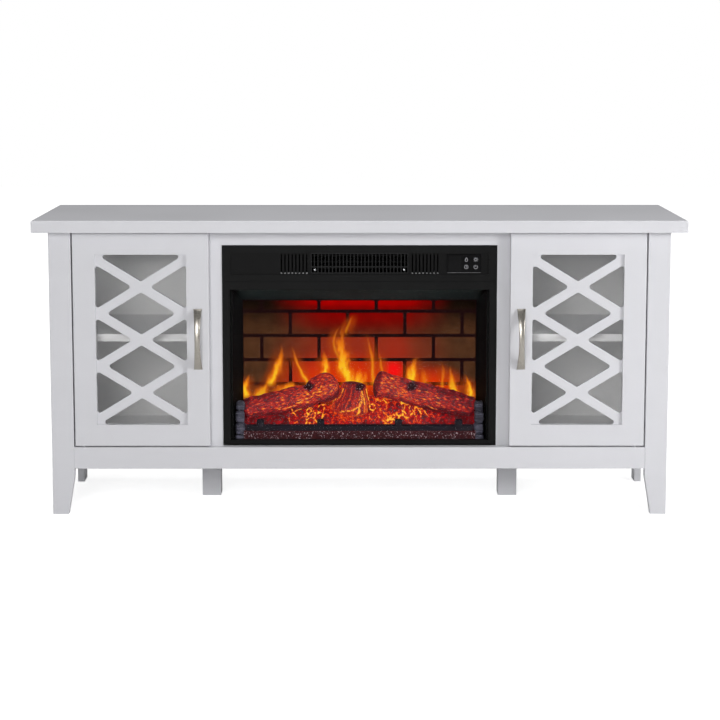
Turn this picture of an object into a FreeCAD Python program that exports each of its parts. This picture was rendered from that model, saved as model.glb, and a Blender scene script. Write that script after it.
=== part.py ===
import FreeCAD, Part
import math
import os

# Electric fireplace mantel: a white media console with two lattice doors and an electric insert.
# Millimetres, +Z up, front facing -Y, origin on the floor under the middle of the top panel.

V = FreeCAD.Vector

# Driving dimensions of the cabinet
top_width = 1400.0
top_depth = 400.0
top_thickness = 26.0
overall_height = 645.0
top_edge_radius = 2.5
board = 15.0
face_board = 18.0
shelf_board = 16.0
back_board = 4.0
side_overhang = 32.0
front_overhang = 26.0
back_overhang = 16.0
back_panel_inset = 2.0
back_panel_lap = 13.5
face_edge_radius = 1.5

# Posts, feet and rails
post_width = 48.0
post_foot_width = 34.0
post_taper_height = 84.0
side_reveal = 9.0
rail_height = 47.5
rail_clearance = 101.0
header_rail_height = 41.0
front_foot_depth = 46.0
rear_foot_depth = 48.0
foot_arch_radius = 22.0
support_leg = 42.0
support_leg_setout = 15.5
support_leg_setback = 160.0
stile_width = 52.0
stile_setback = 2.0
stile_show = 27.5
partition_setout = 18.0

# Shelves, pins and cable holes
shelf_top = 389.0
shelf_front_setback = 54.0
shelf_play = 1.0
pin_radius = 2.5
pin_hole_depth = 9.0
pin_reach = 9.0
pin_edge_setback = 42.0
cable_hole_radius = 22.5
cable_hole_inset = 40.0
cable_hole_over_floor = 56.5
cable_hole_over_shelf = 56.0

# Doors
door_gap = 3.0
door_stile = 48.0
door_rail = 46.5
door_lip = 5.0
rebate = 8.0
lattice_thickness = 6.0
glass_thickness = 4.0
lattice_crossings = 3
lattice_end_share = 1.21645
lattice_edge_gap = 4.25
lattice_strip = 20.0
lattice_corner_radius = 5.5

# Door pivots
pivot_inset = 18.0
pivot_radius = 4.0
pivot_in_door = 22.0
bush_radius = 6.0
bush_depth = 10.0
running_clearance = 0.08

# Bow handles
handle_length = 142.0
handle_projection = 25.5
handle_thickness = 7.5
handle_foot = 15.0
handle_end_width = 19.0
handle_waist = 11.0
handle_end_bow = 3.0
handle_height = 386.0

# Electric insert: face
insert_width = 594.0
insert_gap = 0.5
frame_depth = 10.0
frame_proud = 2.0
frame_lap = 10.0
frame_edge_radius = 1.5
window_side_bar = 16.0
window_bottom_bar = 11.5
window_top_bar = 96.5
header_side_bar = 18.0
header_drop = 64.0
header_height = 47.0
header_lap = 2.5
header_recess = 2.0
groove_drop = 79.5
groove_size = 1.2
shell_play = 1.0
sheet = 1.5

# Electric insert: outlet, slots and controls
fin_pitch = 7.8
fin_thickness = 1.8
fin_bar_depth = 5.0
fin_bar_rise = 13.0
outlet_rise = 3.0
outlet_height = 43.5
outlet_rim = 1.5
outlet_proud = 0.8
slot_count = 8
slot_setout = 9.0
slot_width = 2.8
slot_rise = 4.0
slot_height = 40.5
fascia_margin = 17.0
fascia_setout = 19.9
fascia_width = 73.5
fascia_rise = 4.0
fascia_height = 40.0
fascia_flange = 1.5
fascia_flange_lap = 2.0
fascia_bevel = 1.2
display_inset = 4.0
display_width = 27.0
display_rise = 4.5
display_height = 31.0
display_depth = 1.5
key_radius = 5.5
key_clearance = 0.3
key_column_offsets = (41.5, 62.0)
key_row_offsets = (13.0, 29.0)
key_names = (("timer_key", "power_key"), ("flame_key", "heat_key"))
key_travel = 1.0
key_proud = 0.6
key_flange = 1.2
key_switch_gap = 0.3
board_thickness = 1.6
board_gap = 6.5
board_margin = 1.0
switch_size = 6.0
stand_off = 3.0
stand_off_inset = 3.0
stand_off_display_inset = 5.0

# Electric insert: fire chamber
glass_edge = 2.5
glass_side_play = 0.5
chamber_side_gap = 5.0
chamber_top_gap = 1.5
chamber_splay = 17.0
chamber_fall = 35.0
screen_setback = 94.0
screen_thickness = 3.0
brick_relief = 1.2
brick_length = 127.1
brick_pitch = 54.4
mortar = 5.5
brick_top_course = 25.1
brick_edge_gap = 1.5
brick_joint_x = 37.1
brick_corner = 4.0
bed_gap = 1.0
bed_margin = 5.0
bed_steps = 12
ember_steps = (10.0, 32.0, 56.0)
ember_rises = (9.0, 27.5, 43.5, 36.5)
ember_swell = 5.0
ember_ripple = 3.0
ember_crown = 16.0
ember_crown_x = 45.0
ember_crown_half = 140.0
stone_gap = 0.5
stone_width = 19.0
stone_back_width = 11.0
stone_depth = 48.0
stone_rises = (-9.0, -6.5, 13.5, 16.0, 36.5, 39.0, 57.0, 62.5)
stone_tapers = (0.5, 3.0, 1.0, 3.2, 0.4, 3.0, 1.0, 5.0)
grate_margin = 6.0
grate_rise = 29.0
grate_bar = 14.0
grate_nub = 26.0
grate_nub_width = 16.0
grate_nub_end = 31.0
grate_nub_inner = 85.0
grate_depth = 9.0
grate_play = 2.0
grate_bevel = 2.5

# Logs: distance from the middle, distance in front of the screen, height over the grate, radius
log_sides = 9
left_log_run = (
    (-246.0, 38.0, 38.5, 26.0),
    (-200.0, 37.0, 49.5, 27.5),
    (-154.0, 35.0, 60.5, 26.0),
    (-110.0, 36.0, 72.5, 23.5),
    (-70.0, 44.0, 89.5, 29.5),
)
right_log_run = (
    (42.0, 42.0, 96.5, 28.5),
    (94.0, 36.0, 81.5, 25.5),
    (142.0, 35.0, 67.5, 25.0),
    (194.0, 37.0, 55.5, 25.5),
    (246.0, 39.0, 43.5, 23.0),
)
centre_log_run = (
    (-13.0, 28.0, 91.0, 24.0),
    (-15.0, 32.0, 74.0, 32.0),
    (-17.0, 36.0, 56.0, 40.0),
    (-19.0, 39.0, 38.0, 43.0),
)

# Electric insert: works behind the screen and above the chamber
shell_depth = 192.0
baffle_rise = 5.5
rotor_setback = 38.0
rotor_rise = 56.5
rotor_margin = 33.0
shaft_radius = 2.5
flag_reach = 16.0
flag_width = 22.0
flag_thickness = 0.8
flag_margin = 14.0
flag_count = 12
lamp_count = 12
lamp_size = 5.0
lamp_strip_width = 14.0
lamp_strip_height = 8.0
lamp_strip_setback = 22.0
bearing_setout = 8.0
bearing_half = 12.0
motor_radius = 18.0
motor_length = 20.0
motor_gap = 4.0
motor_foot = 2.0
motor_foot_half = 14.0
blower_setback = 94.0
blower_rise = 18.0
blower_radius = 19.0
blower_end_gap = 10.0
blower_blades = 7
blade_depth = 6.0
blade_thickness = 1.0
blade_pitch_angle = 28.0
blower_motor_half = 17.0
blower_motor_length = 24.0
duct_side_gap = 1.0
duct_clearance = 4.0
duct_foot = 12.0
duct_intake_setback = 6.0
duct_intake_rise = 8.0
heater_setback = 18.0
heater_depth = 14.0
heater_fins = 10
heater_rod = 3.0
heater_rod_pitch = 13.5
heater_fin_thickness = 1.0
intake_slots = 9
intake_rows = 2
intake_pitch = 20.0
intake_row_pitch = 32.0
intake_rise = 12.0
intake_width = 4.0
intake_height = 24.0
gland_inset = 51.0
gland_rise = 36.5
gland_radius = 10.0
gland_bore = 4.0
gland_height = 8.0
bracket_leg = 18.0
bracket_depth = 26.0
bracket_height = 26.0
bracket_rise = 60.0
bracket_drop = 90.0

# Levels and planes of the cabinet that follow from the sizes above
half_width = top_width / 2 - side_overhang
front = -top_depth / 2 + front_overhang
face_back = front + face_board
back = top_depth / 2 - back_overhang - back_board
under_top = overall_height - top_thickness
floor_top = rail_clearance + rail_height
post_inner = half_width - post_width
side_outer = half_width - side_reveal
side_inner = side_outer - board
opening_half = insert_width / 2 - frame_lap
opening_top = under_top - header_rail_height
partition_inner = opening_half + partition_setout
partition_outer = partition_inner + board
support_leg_x = partition_outer + support_leg_setout
support_leg_y = back - support_leg_setback
stile_front = face_back + stile_setback
stile_back = stile_front + face_board
door_outer = post_inner - door_gap
door_inner = insert_width / 2 + stile_show
door_bottom = floor_top + door_gap
door_top = under_top - door_gap
pivot_x = door_outer - pivot_inset
pivot_y = front + face_board / 2
shelf_front = front + shelf_front_setback
shelf_bottom = shelf_top - shelf_board
cable_hole_heights = (floor_top + cable_hole_over_floor, shelf_top + cable_hole_over_shelf)

# Planes of a door, drawn for the right-hand one
window_x0 = door_inner + door_stile
window_x1 = door_outer - door_stile
window_z0 = door_bottom + door_rail
window_z1 = door_top - door_rail
window_mid_x = (window_x0 + window_x1) / 2
window_mid_z = (window_z0 + window_z1) / 2
lattice_front = front + door_lip
glass_front = lattice_front + lattice_thickness
bead_front = glass_front + glass_thickness
lattice_pitch = (window_z1 - window_z0) / (lattice_crossings - 1 + lattice_end_share)
lattice_node_half_width = (window_x1 - window_x0) / 2 - lattice_edge_gap

# Levels and planes of the insert's face
insert_half = insert_width / 2
insert_bottom = floor_top + insert_gap
insert_top = opening_top + frame_lap
frame_front = stile_front - frame_proud
frame_back = frame_front + frame_depth
window_half_width = insert_half - window_side_bar
window_bottom = insert_bottom + window_bottom_bar
window_top = insert_top - window_top_bar
header_half_width = insert_half - header_side_bar
header_bottom = insert_top - header_drop
groove_height = insert_top - groove_drop
fascia_left = header_half_width - fascia_margin - fascia_width
fascia_right = fascia_left + fascia_width
fascia_bottom = header_bottom + fascia_rise
fascia_top = fascia_bottom + fascia_height
fascia_back = frame_back + fascia_flange
display_left = fascia_left + display_inset
display_bottom = fascia_bottom + display_rise
key_columns = [fascia_left + offset for offset in key_column_offsets]
key_rows = [fascia_bottom + offset for offset in key_row_offsets]
key_flange_front = fascia_back + running_clearance
switch_front = key_flange_front + key_flange + key_travel + key_switch_gap
board_front = fascia_back + board_gap
outlet_half_width = fascia_left - fascia_setout - (slot_count - 1) * fin_pitch - slot_setout
outlet_bottom = header_bottom + outlet_rise
outlet_top = outlet_bottom + outlet_height
fin_bar_height = outlet_bottom + fin_bar_rise
slot_first_x = outlet_half_width + slot_setout
slot_bottom = header_bottom + slot_rise

# Levels and planes of the fire chamber and the works
shell_half = opening_half - shell_play
shell_inner = shell_half - sheet
shell_back = frame_back + shell_depth
shell_top = opening_top - 2 * shell_play
glass_back = frame_back + glass_thickness
flange_back = glass_back + sheet
baffle_height = window_top + baffle_rise
works_floor = baffle_height + sheet
chamber_floor = floor_top + sheet
chamber_front_half = window_half_width - chamber_side_gap
chamber_front_top = window_top - chamber_top_gap
chamber_back_half = chamber_front_half - chamber_splay
chamber_back_top = chamber_front_top - chamber_fall
screen_front = frame_back + screen_setback
brick_course_top = chamber_back_top - brick_top_course
bed_front = flange_back + bed_gap
bed_back = screen_front - brick_relief - bed_gap
bed_half_width = chamber_back_half - bed_margin
grate_bottom = floor_top + grate_rise
grate_back = bed_front + grate_depth
grate_half_width = bed_half_width - grate_margin
rotor_y = screen_front + rotor_setback
rotor_z = floor_top + rotor_rise
rotor_half_length = chamber_back_half - rotor_margin
bearing_x = rotor_half_length + bearing_setout
blower_y = frame_back + blower_setback
blower_z = outlet_bottom + blower_rise
duct_half_length = outlet_half_width - duct_side_gap
blower_half_length = duct_half_length - blower_end_gap
heater_front = frame_back + heater_setback
gland_x = -(shell_half - gland_inset)
gland_z = floor_top + gland_rise


def block(x0, x1, y0, y1, z0, z1):
    return Part.makeBox(x1 - x0, y1 - y0, z1 - z0, V(x0, y0, z0))


def rod(x, y, z, direction, radius, length):
    return Part.makeCylinder(radius, length, V(x, y, z), direction)


def prism_xz(points, y0, y1):
    corners = [V(x, y0, z) for x, z in points]
    face = Part.Face(Part.makePolygon(corners + corners[:1]))
    return face.extrude(V(0, y1 - y0, 0))


def prism_yz(points, x0, x1):
    corners = [V(x0, y, z) for y, z in points]
    face = Part.Face(Part.makePolygon(corners + corners[:1]))
    return face.extrude(V(x1 - x0, 0, 0))


def edges_along(shape, axis):
    found = []
    for edge in shape.Edges:
        run = edge.Vertexes[-1].Point - edge.Vertexes[0].Point
        if len(edge.Vertexes) == 2 and run.Length > 0 and abs(run.dot(axis)) / run.Length > 0.999:
            found.append(edge)
    return found


def edges_at(shape, axis, level):
    found = []
    for edge in shape.Edges:
        if all(abs(vertex.Point.dot(axis) - level) < 1e-6 for vertex in edge.Vertexes):
            found.append(edge)
    return found


def faceted(rings):
    # Closed solid through flat rings of points, with three-cornered faces between one ring and the next.
    faces = [Part.Face(Part.makePolygon(ring + ring[:1])) for ring in (rings[0], rings[-1])]
    for near, far in zip(rings, rings[1:]):
        for i in range(len(near)):
            j = (i + 1) % len(near)
            for corners in ((near[i], near[j], far[i]), (near[j], far[j], far[i])):
                faces.append(Part.Face(Part.makePolygon(corners + corners[:1])))
    solid = Part.Solid(Part.Shell(faces))
    solid.fix(1e-6, 1e-6, 1e-6)
    return solid if solid.Volume > 0 else solid.reversed()


def joined(shapes):
    return shapes[0].multiFuse(shapes[1:]).removeSplitter()


def write(name, shape):
    shape.exportStep("parts/%s.step" % name)


def write_pair(name, right_shape):
    write("right_" + name, right_shape)
    write("left_" + name, right_shape.mirror(V(0, 0, 0), V(1, 0, 0)))


def side_by_side(right_shape):
    return [right_shape, right_shape.mirror(V(0, 0, 0), V(1, 0, 0))]


X_AXIS = V(1, 0, 0)
Y_AXIS = V(0, 1, 0)
Z_AXIS = V(0, 0, 1)


# Cabinet boards
def top_panel():
    panel = block(-top_width / 2, top_width / 2, -top_depth / 2, top_depth / 2, under_top, overall_height)
    panel = panel.makeFillet(top_edge_radius, edges_at(panel, Z_AXIS, overall_height))
    for x in (-pivot_x, pivot_x):
        panel = panel.cut(rod(x, pivot_y, under_top, Z_AXIS, bush_radius, bush_depth))
    return panel


def front_post():
    outline = [
        (half_width, 0),
        (half_width, under_top),
        (post_inner, under_top),
        (post_inner, post_taper_height),
        (half_width - post_foot_width, 0),
    ]
    post = prism_xz(outline, front, face_back)
    rim = edges_at(post, Y_AXIS, front)
    eased = [e for e in rim if 1 < e.CenterOfMass.z < under_top - 1]
    return post.makeFillet(face_edge_radius, eased)


def pin_places():
    return shelf_front + pin_edge_setback, back - pin_edge_setback


def drilled_for_pins(panel, x, direction):
    z = shelf_bottom - pin_radius
    holes = [rod(x, y, z, direction, pin_radius, pin_hole_depth) for y in pin_places()]
    return panel.cut(Part.makeCompound(holes))


def side_panel():
    panel = block(side_inner, side_outer, face_back, back, 0, under_top)
    arch_front = face_back + front_foot_depth
    arch_back = back - rear_foot_depth
    arch = block(side_inner - 1, side_outer + 1, arch_front, arch_back, -1, rail_clearance)
    upper = [e for e in edges_along(arch, X_AXIS) if e.CenterOfMass.z > 0]
    panel = panel.cut(arch.makeFillet(foot_arch_radius, upper))
    return drilled_for_pins(panel, side_inner, X_AXIS)


def partition():
    panel = block(partition_inner, partition_outer, stile_back, back, floor_top, under_top)
    return drilled_for_pins(panel, partition_outer, -X_AXIS)


def centre_stile():
    outer = opening_half + stile_width
    return block(opening_half, outer, stile_front, stile_back, floor_top, under_top)


def header_rail():
    return block(-opening_half, opening_half, stile_front, stile_back, opening_top, under_top)


def shelf():
    x0, x1 = partition_outer + shelf_play, side_inner - shelf_play
    return block(x0, x1, shelf_front, back - shelf_play, shelf_bottom, shelf_top)


def shelf_pins():
    z = shelf_bottom - pin_radius
    pins = []
    for y in pin_places():
        for x, direction in ((side_inner, -X_AXIS), (partition_outer, X_AXIS)):
            root = V(x, y, z) - direction * pin_hole_depth
            pin = Part.makeCylinder(pin_radius, pin_hole_depth + pin_reach, root, direction)
            pins += side_by_side(pin)
    return Part.makeCompound(pins)


def bottom_rail():
    rail = block(-post_inner, post_inner, front, face_back, rail_clearance, floor_top)
    long_edges = [e for e in edges_along(rail, X_AXIS) if abs(e.CenterOfMass.y - front) < 1e-6]
    rail = rail.makeFillet(face_edge_radius, long_edges)
    for x in (-pivot_x, pivot_x):
        rail = rail.cut(rod(x, pivot_y, floor_top, -Z_AXIS, bush_radius, bush_depth))
    return rail


def back_panel():
    panel = block(
        partition_inner + back_panel_inset, side_outer - back_panel_inset, back, back + back_board,
        floor_top - back_panel_lap, under_top - back_panel_inset,
    )
    for z in cable_hole_heights:
        x = partition_outer + cable_hole_inset
        panel = panel.cut(rod(x, back - 1, z, Y_AXIS, cable_hole_radius, back_board + 2))
    return panel


def support_legs():
    half = support_leg / 2
    x, y = support_leg_x, support_leg_y
    leg = block(x - half, x + half, y - half, y + half, 0, floor_top - board)
    return Part.makeCompound(side_by_side(leg))


def pivot_bushes():
    bushes = []
    for z, direction in ((under_top, Z_AXIS), (floor_top, -Z_AXIS)):
        body = rod(pivot_x, pivot_y, z, direction, bush_radius, bush_depth)
        bore = rod(pivot_x, pivot_y, z, direction, pivot_radius + running_clearance, bush_depth)
        bushes += side_by_side(body.cut(bore))
    return Part.makeCompound(bushes)


# Doors, drawn for the right-hand one
def in_rebate(y0, y1):
    # What fills the rebate round the window from one depth to another.
    x0, x1 = window_x0 - rebate, window_x1 + rebate
    return block(x0, x1, y0, y1, window_z0 - rebate, window_z1 + rebate)


def door_frame():
    frame = block(door_inner, door_outer, front, face_back, door_bottom, door_top)
    rim = edges_at(frame, Y_AXIS, front)
    frame = frame.makeFillet(face_edge_radius, rim)
    opening = block(window_x0, window_x1, front - 1, face_back + 1, window_z0, window_z1)
    seat = in_rebate(lattice_front, face_back + 1)
    frame = frame.cut(opening).cut(seat)
    for z, direction in ((door_top, -Z_AXIS), (door_bottom, Z_AXIS)):
        frame = frame.cut(rod(pivot_x, pivot_y, z, direction, pivot_radius, pivot_in_door))
    return frame


def inset(points, gaps):
    # Moves each side of a convex outline inward by its own gap; points run anticlockwise.
    lines = []
    count = len(points)
    for i in range(count):
        ax, az = points[i]
        bx, bz = points[(i + 1) % count]
        length = math.hypot(bx - ax, bz - az)
        nx = -(bz - az) / length
        nz = (bx - ax) / length
        lines.append((nx, nz, nx * ax + nz * az + gaps[i]))
    moved = []
    for i in range(count):
        ax, az, ac = lines[i - 1]
        bx, bz, bc = lines[i]
        det = ax * bz - az * bx
        moved.append(((ac * bz - az * bc) / det, (ax * bc - ac * bx) / det))
    return moved


def lattice_cells():
    half = lattice_strip / 2
    hw = lattice_node_half_width
    hp = lattice_pitch / 2
    wide = (window_x1 - window_x0) / 2
    tall = (window_z1 - window_z0) / 2
    slope = hp / hw
    top = (lattice_crossings - 1) / 2 * lattice_pitch
    cells = []
    reach = (tall - top) / slope
    cells.append(([(0, top), (reach, tall), (-reach, tall)], (half, 0, half)))
    cells.append(([(0, -top), (-reach, -tall), (reach, -tall)], (half, 0, half)))
    for k in range(lattice_crossings):
        z = top - k * lattice_pitch
        rise = wide * slope
        cells.append(([(0, z), (wide, z - rise), (wide, z + rise)], (half, 0, half)))
        cells.append(([(0, z), (-wide, z + rise), (-wide, z - rise)], (half, 0, half)))
    for k in range(lattice_crossings - 1):
        z = top - k * lattice_pitch
        low = z - lattice_pitch
        cells.append(([(0, low), (hw, z - hp), (0, z), (-hw, z - hp)], (half, half, half, half)))
    return [inset(points, gaps) for points, gaps in cells]


def lattice():
    panel = in_rebate(lattice_front, glass_front)
    cuts = []
    for cell in lattice_cells():
        outline = [(window_mid_x + x, window_mid_z + z) for x, z in cell]
        cut = prism_xz(outline, lattice_front - 1, glass_front + 1)
        cuts.append(cut.makeFillet(lattice_corner_radius, edges_along(cut, Y_AXIS)))
    return panel.cut(Part.makeCompound(cuts))


def door_glass():
    return in_rebate(glass_front, bead_front)


def glass_bead():
    strips = []
    for x0, x1 in ((window_x0 - rebate, window_x0), (window_x1, window_x1 + rebate)):
        strips.append(block(x0, x1, bead_front, face_back, window_z0 - rebate, window_z1 + rebate))
    for z0, z1 in ((window_z0 - rebate, window_z0), (window_z1, window_z1 + rebate)):
        strips.append(block(window_x0, window_x1, bead_front, face_back, z0, z1))
    return Part.makeCompound(strips)


def bow(points):
    arcs = [V(*p) for p in points]
    return Part.Arc(*arcs).toShape()


def handle():
    x = door_inner + door_stile / 2
    half = handle_length / 2
    inner = half - handle_foot
    depth = handle_projection - handle_thickness
    z = handle_height
    left = x - handle_end_width
    side = Part.Face(
        Part.Wire(
            [
                bow([(left, front, z - half), (left, front - handle_projection, z), (left, front, z + half)]),
                Part.makeLine(V(left, front, z + half), V(left, front, z + inner)),
                bow([(left, front, z + inner), (left, front - depth, z), (left, front, z - inner)]),
                Part.makeLine(V(left, front, z - inner), V(left, front, z - half)),
            ]
        )
    ).extrude(V(2 * handle_end_width, 0, 0))
    end = handle_end_width / 2
    waist = handle_waist / 2
    corner = half - handle_end_bow
    y = front - handle_projection - 5
    plan = Part.Face(
        Part.Wire(
            [
                bow([(x - end, y, z - corner), (x - waist, y, z), (x - end, y, z + corner)]),
                bow([(x - end, y, z + corner), (x, y, z + half), (x + end, y, z + corner)]),
                bow([(x + end, y, z + corner), (x + waist, y, z), (x + end, y, z - corner)]),
                bow([(x + end, y, z - corner), (x, y, z - half), (x - end, y, z - corner)]),
            ]
        )
    ).extrude(V(0, handle_projection + 10, 0))
    return side.common(plan)


def pivot_pins():
    pins = []
    for z, direction in ((door_top, Z_AXIS), (door_bottom, -Z_AXIS)):
        root = V(pivot_x, pivot_y, z) - direction * pivot_in_door
        length = pivot_in_door + door_gap + bush_depth - running_clearance
        pins.append(Part.makeCylinder(pivot_radius, length, root, direction))
    return Part.makeCompound(pins)


# Electric insert, face
def front_frame():
    # A thin flange that laps the cabinet's face, on a body that fills the opening behind it.
    half = insert_half
    flange = block(-half, half, frame_front, stile_front, insert_bottom, insert_top)
    flange = flange.makeFillet(frame_edge_radius, edges_at(flange, Y_AXIS, frame_front))
    body_top = opening_top - shell_play
    body = block(-shell_half, shell_half, stile_front, frame_back, insert_bottom, body_top)
    frame = joined([flange, body])
    y0 = frame_front - 1
    y1 = frame_back + 1
    window = block(-window_half_width, window_half_width, y0, y1, window_bottom, window_top)
    header_top = header_bottom + header_height
    header = block(-header_half_width, header_half_width, y0, y1, header_bottom, header_top)
    lap = header_lap
    seat = block(
        -header_half_width - lap, header_half_width + lap, frame_front + header_recess, y1,
        header_bottom - lap, header_top + lap,
    )
    groove_top = groove_height + groove_size
    groove = block(-half - 1, half + 1, y0, frame_front + groove_size, groove_height, groove_top)
    return frame.cut(Part.makeCompound([window, groove])).cut(header).cut(seat)


def slot_cut(x):
    half = slot_width / 2
    return block(x - half, x + half, frame_front, frame_back + 1, slot_bottom, slot_bottom + slot_height)


def header_panel():
    lap = header_lap
    half = header_half_width + lap
    top = header_bottom + header_height + lap
    panel = block(-half, half, frame_front + header_recess, frame_back, header_bottom - lap, top)
    y0 = frame_front
    y1 = frame_back + 1
    cuts = [
        block(-outlet_half_width, outlet_half_width, y0, y1, outlet_bottom, outlet_top),
        block(fascia_left, fascia_right, y0, y1, fascia_bottom, fascia_top),
    ]
    for n in range(slot_count):
        cuts.append(slot_cut(slot_first_x + n * fin_pitch))
        cuts.append(slot_cut(-slot_first_x - n * fin_pitch))
    return panel.cut(Part.makeCompound(cuts))


def outlet_grille():
    half = outlet_half_width
    y0 = frame_front + header_recess - outlet_proud
    y1 = frame_back
    inner = half - outlet_rim
    rim = block(-half, half, y0, y1, outlet_bottom, outlet_top)
    hollow = block(-inner, inner, y0 - 1, y1 + 1, outlet_bottom + outlet_rim, outlet_top - outlet_rim)
    pieces = [rim.cut(hollow)]
    count = int(2 * inner / fin_pitch)
    for n in range(count):
        x = (n - (count - 1) / 2) * fin_pitch - fin_thickness / 2
        pieces.append(block(x, x + fin_thickness, y0 + outlet_proud, y1, outlet_bottom + 1, outlet_top - 1))
    bar_top = fin_bar_height + fin_thickness
    pieces.append(block(-half + 1, half - 1, y0, y0 + fin_bar_depth, fin_bar_height, bar_top))
    return joined(pieces)


def control_fascia():
    face = block(fascia_left, fascia_right, frame_front, frame_back, fascia_bottom, fascia_top)
    face = face.makeChamfer(fascia_bevel, edges_at(face, Y_AXIS, frame_front))
    lap = fascia_flange_lap
    flange = block(
        fascia_left - lap, fascia_right + lap, frame_back, fascia_back, fascia_bottom - lap, fascia_top + lap
    )
    body = joined([face, flange]).cut(display_space(frame_front - 1))
    for x in key_columns:
        for z in key_rows:
            through = frame_depth + fascia_flange + 2
            bore = rod(x, frame_front - 1, z, Y_AXIS, key_radius + key_clearance, through)
            body = body.cut(bore)
    half = stand_off / 2
    posts = []
    for x in (fascia_left + stand_off_display_inset, fascia_right - stand_off_inset):
        for z in (fascia_bottom + stand_off_inset, fascia_top - stand_off_inset):
            posts.append(block(x - half, x + half, fascia_back, board_front, z - half, z + half))
    return joined([body] + posts)


def display_space(y0):
    display_right = display_left + display_width
    display_top = display_bottom + display_height
    return block(display_left, display_right, y0, frame_front + display_depth, display_bottom, display_top)


def key(x, z):
    cap = rod(x, frame_front - key_proud, z, Y_AXIS, key_radius, key_flange_front - frame_front + key_proud)
    half = key_radius + key_flange
    flange = block(x - half, x + half, key_flange_front, key_flange_front + key_flange, z - half, z + half)
    return joined([cap, flange])


def control_board():
    plate = block(
        fascia_left + board_margin, fascia_right - board_margin, board_front, board_front + board_thickness,
        fascia_bottom + board_margin, fascia_top - board_margin,
    )
    half = switch_size / 2
    pieces = [plate]
    for x in key_columns:
        for z in key_rows:
            pieces.append(block(x - half, x + half, switch_front, board_front, z - half, z + half))
    return joined(pieces)


def front_glass():
    half = shell_inner - glass_side_play
    return block(-half, half, frame_back, glass_back, window_bottom - glass_edge, window_top + glass_edge)


# Electric insert, shell and fire chamber
def firebox_shell():
    inner = shell_inner
    outer = block(-shell_half, shell_half, frame_back, shell_back, floor_top, shell_top)
    hollow = block(-inner, inner, frame_back - 1, shell_back + 1, chamber_floor, shell_top - sheet)
    baffle = block(-inner - 0.5, inner + 0.5, glass_back, shell_back, baffle_height, works_floor)
    pieces = [outer.cut(hollow), baffle]
    sill = block(-inner - 0.5, inner + 0.5, glass_back, flange_back, floor_top + 1, window_bottom - 0.5)
    lintel = block(-inner - 0.5, inner + 0.5, glass_back, flange_back, window_top + 0.5, baffle_height + 1)
    cheek = block(chamber_front_half, inner + 0.5, glass_back, flange_back, floor_top + 1, baffle_height + 1)
    pieces += [sill, lintel] + side_by_side(cheek)
    tab = block(
        -bearing_x - sheet, -bearing_x, rotor_y - bearing_half, rotor_y + bearing_half,
        floor_top + 1, rotor_z + bearing_half,
    )
    bore = rod(-bearing_x - sheet - 1, rotor_y, rotor_z, X_AXIS, shaft_radius + running_clearance, sheet + 2)
    pieces.append(tab.cut(bore))
    return joined(pieces)


def chamber_space(wall, bottom):
    # The splayed space between the flange and the screen, swelled by the thickness of a wall.
    rings = []
    for y, half, top in (
        (flange_back, chamber_front_half + wall, chamber_front_top + wall),
        (screen_front, chamber_back_half + wall, chamber_back_top + wall),
    ):
        rings.append([V(-half, y, bottom), V(half, y, bottom), V(half, y, top), V(-half, y, top)])
    return faceted(rings)


def chamber_liner():
    space = chamber_space(0, chamber_floor - 5)
    return chamber_space(sheet, chamber_floor).cut(space).removeSplitter()


def brick_screen():
    half = chamber_back_half + sheet
    top = chamber_back_top + sheet
    plate = block(-half, half, screen_front, screen_front + screen_thickness, chamber_floor, top)
    pieces = [plate]
    limit = chamber_back_half - brick_edge_gap
    ember_crest = grate_bottom + ember_rises[-1]
    courses = math.ceil((brick_course_top + brick_pitch - ember_crest) / brick_pitch)
    per_course = math.ceil(chamber_back_half / brick_length) + 1
    for course in range(courses):
        z1 = brick_course_top + brick_pitch * (1 - course) - mortar / 2
        z0 = z1 - brick_pitch + mortar
        z1 = min(z1, chamber_back_top - brick_edge_gap)
        start = brick_joint_x + brick_length / 2 * (course % 2)
        for n in range(-per_course, per_course):
            x0 = max(start + n * brick_length + mortar / 2, -limit)
            x1 = min(start + (n + 1) * brick_length - mortar / 2, limit)
            if x1 - x0 > 2.5 * brick_corner:
                brick = block(x0, x1, screen_front - brick_relief, screen_front + 0.5, z0, z1)
                pieces.append(brick.makeChamfer(brick_corner, edges_along(brick, Y_AXIS)))
    return joined(pieces)


def ember_section(x):
    # Ledge under the grate bar, then a bank of embers that rises and falls along the bed.
    swell = ember_swell * math.sin(x / 41.0) + ember_ripple * math.sin(x / 17.0 + 1.0)
    swell += ember_crown * max(0.0, 1 - ((x - ember_crown_x) / ember_crown_half) ** 2)
    ledge = grate_back + grate_play
    near, middle, far = ember_steps
    outline = [
        V(x, bed_back, chamber_floor),
        V(x, bed_front, chamber_floor),
        V(x, bed_front, grate_bottom),
        V(x, ledge, grate_bottom),
        V(x, ledge + near, grate_bottom + ember_rises[0] + 0.3 * swell),
        V(x, ledge + middle, grate_bottom + ember_rises[1] + 0.6 * swell),
        V(x, ledge + far, grate_bottom + ember_rises[2] + swell),
        V(x, bed_back, grate_bottom + ember_rises[3] + 0.8 * swell),
    ]
    return outline


def embers():
    stations = [bed_half_width * (2.0 * n / bed_steps - 1) for n in range(bed_steps + 1)]
    return faceted([ember_section(x) for x in stations])


def end_stone():
    x0 = bed_half_width + stone_gap
    levels = [(chamber_floor, 0.0)]
    for rise, taper in zip(stone_rises, stone_tapers):
        levels.append((grate_bottom + rise, taper))
    rings = []
    for z, taper in levels:
        corners = [
            V(x0, bed_front + 2 * taper, z),
            V(x0 + stone_width - taper, bed_front + taper, z),
            V(x0 + stone_back_width - taper, bed_front + stone_depth - 2 - 2 * taper, z),
            V(x0 + taper / 3, bed_front + stone_depth - 2 * taper, z),
        ]
        rings.append(corners)
    return faceted(rings)


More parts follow.
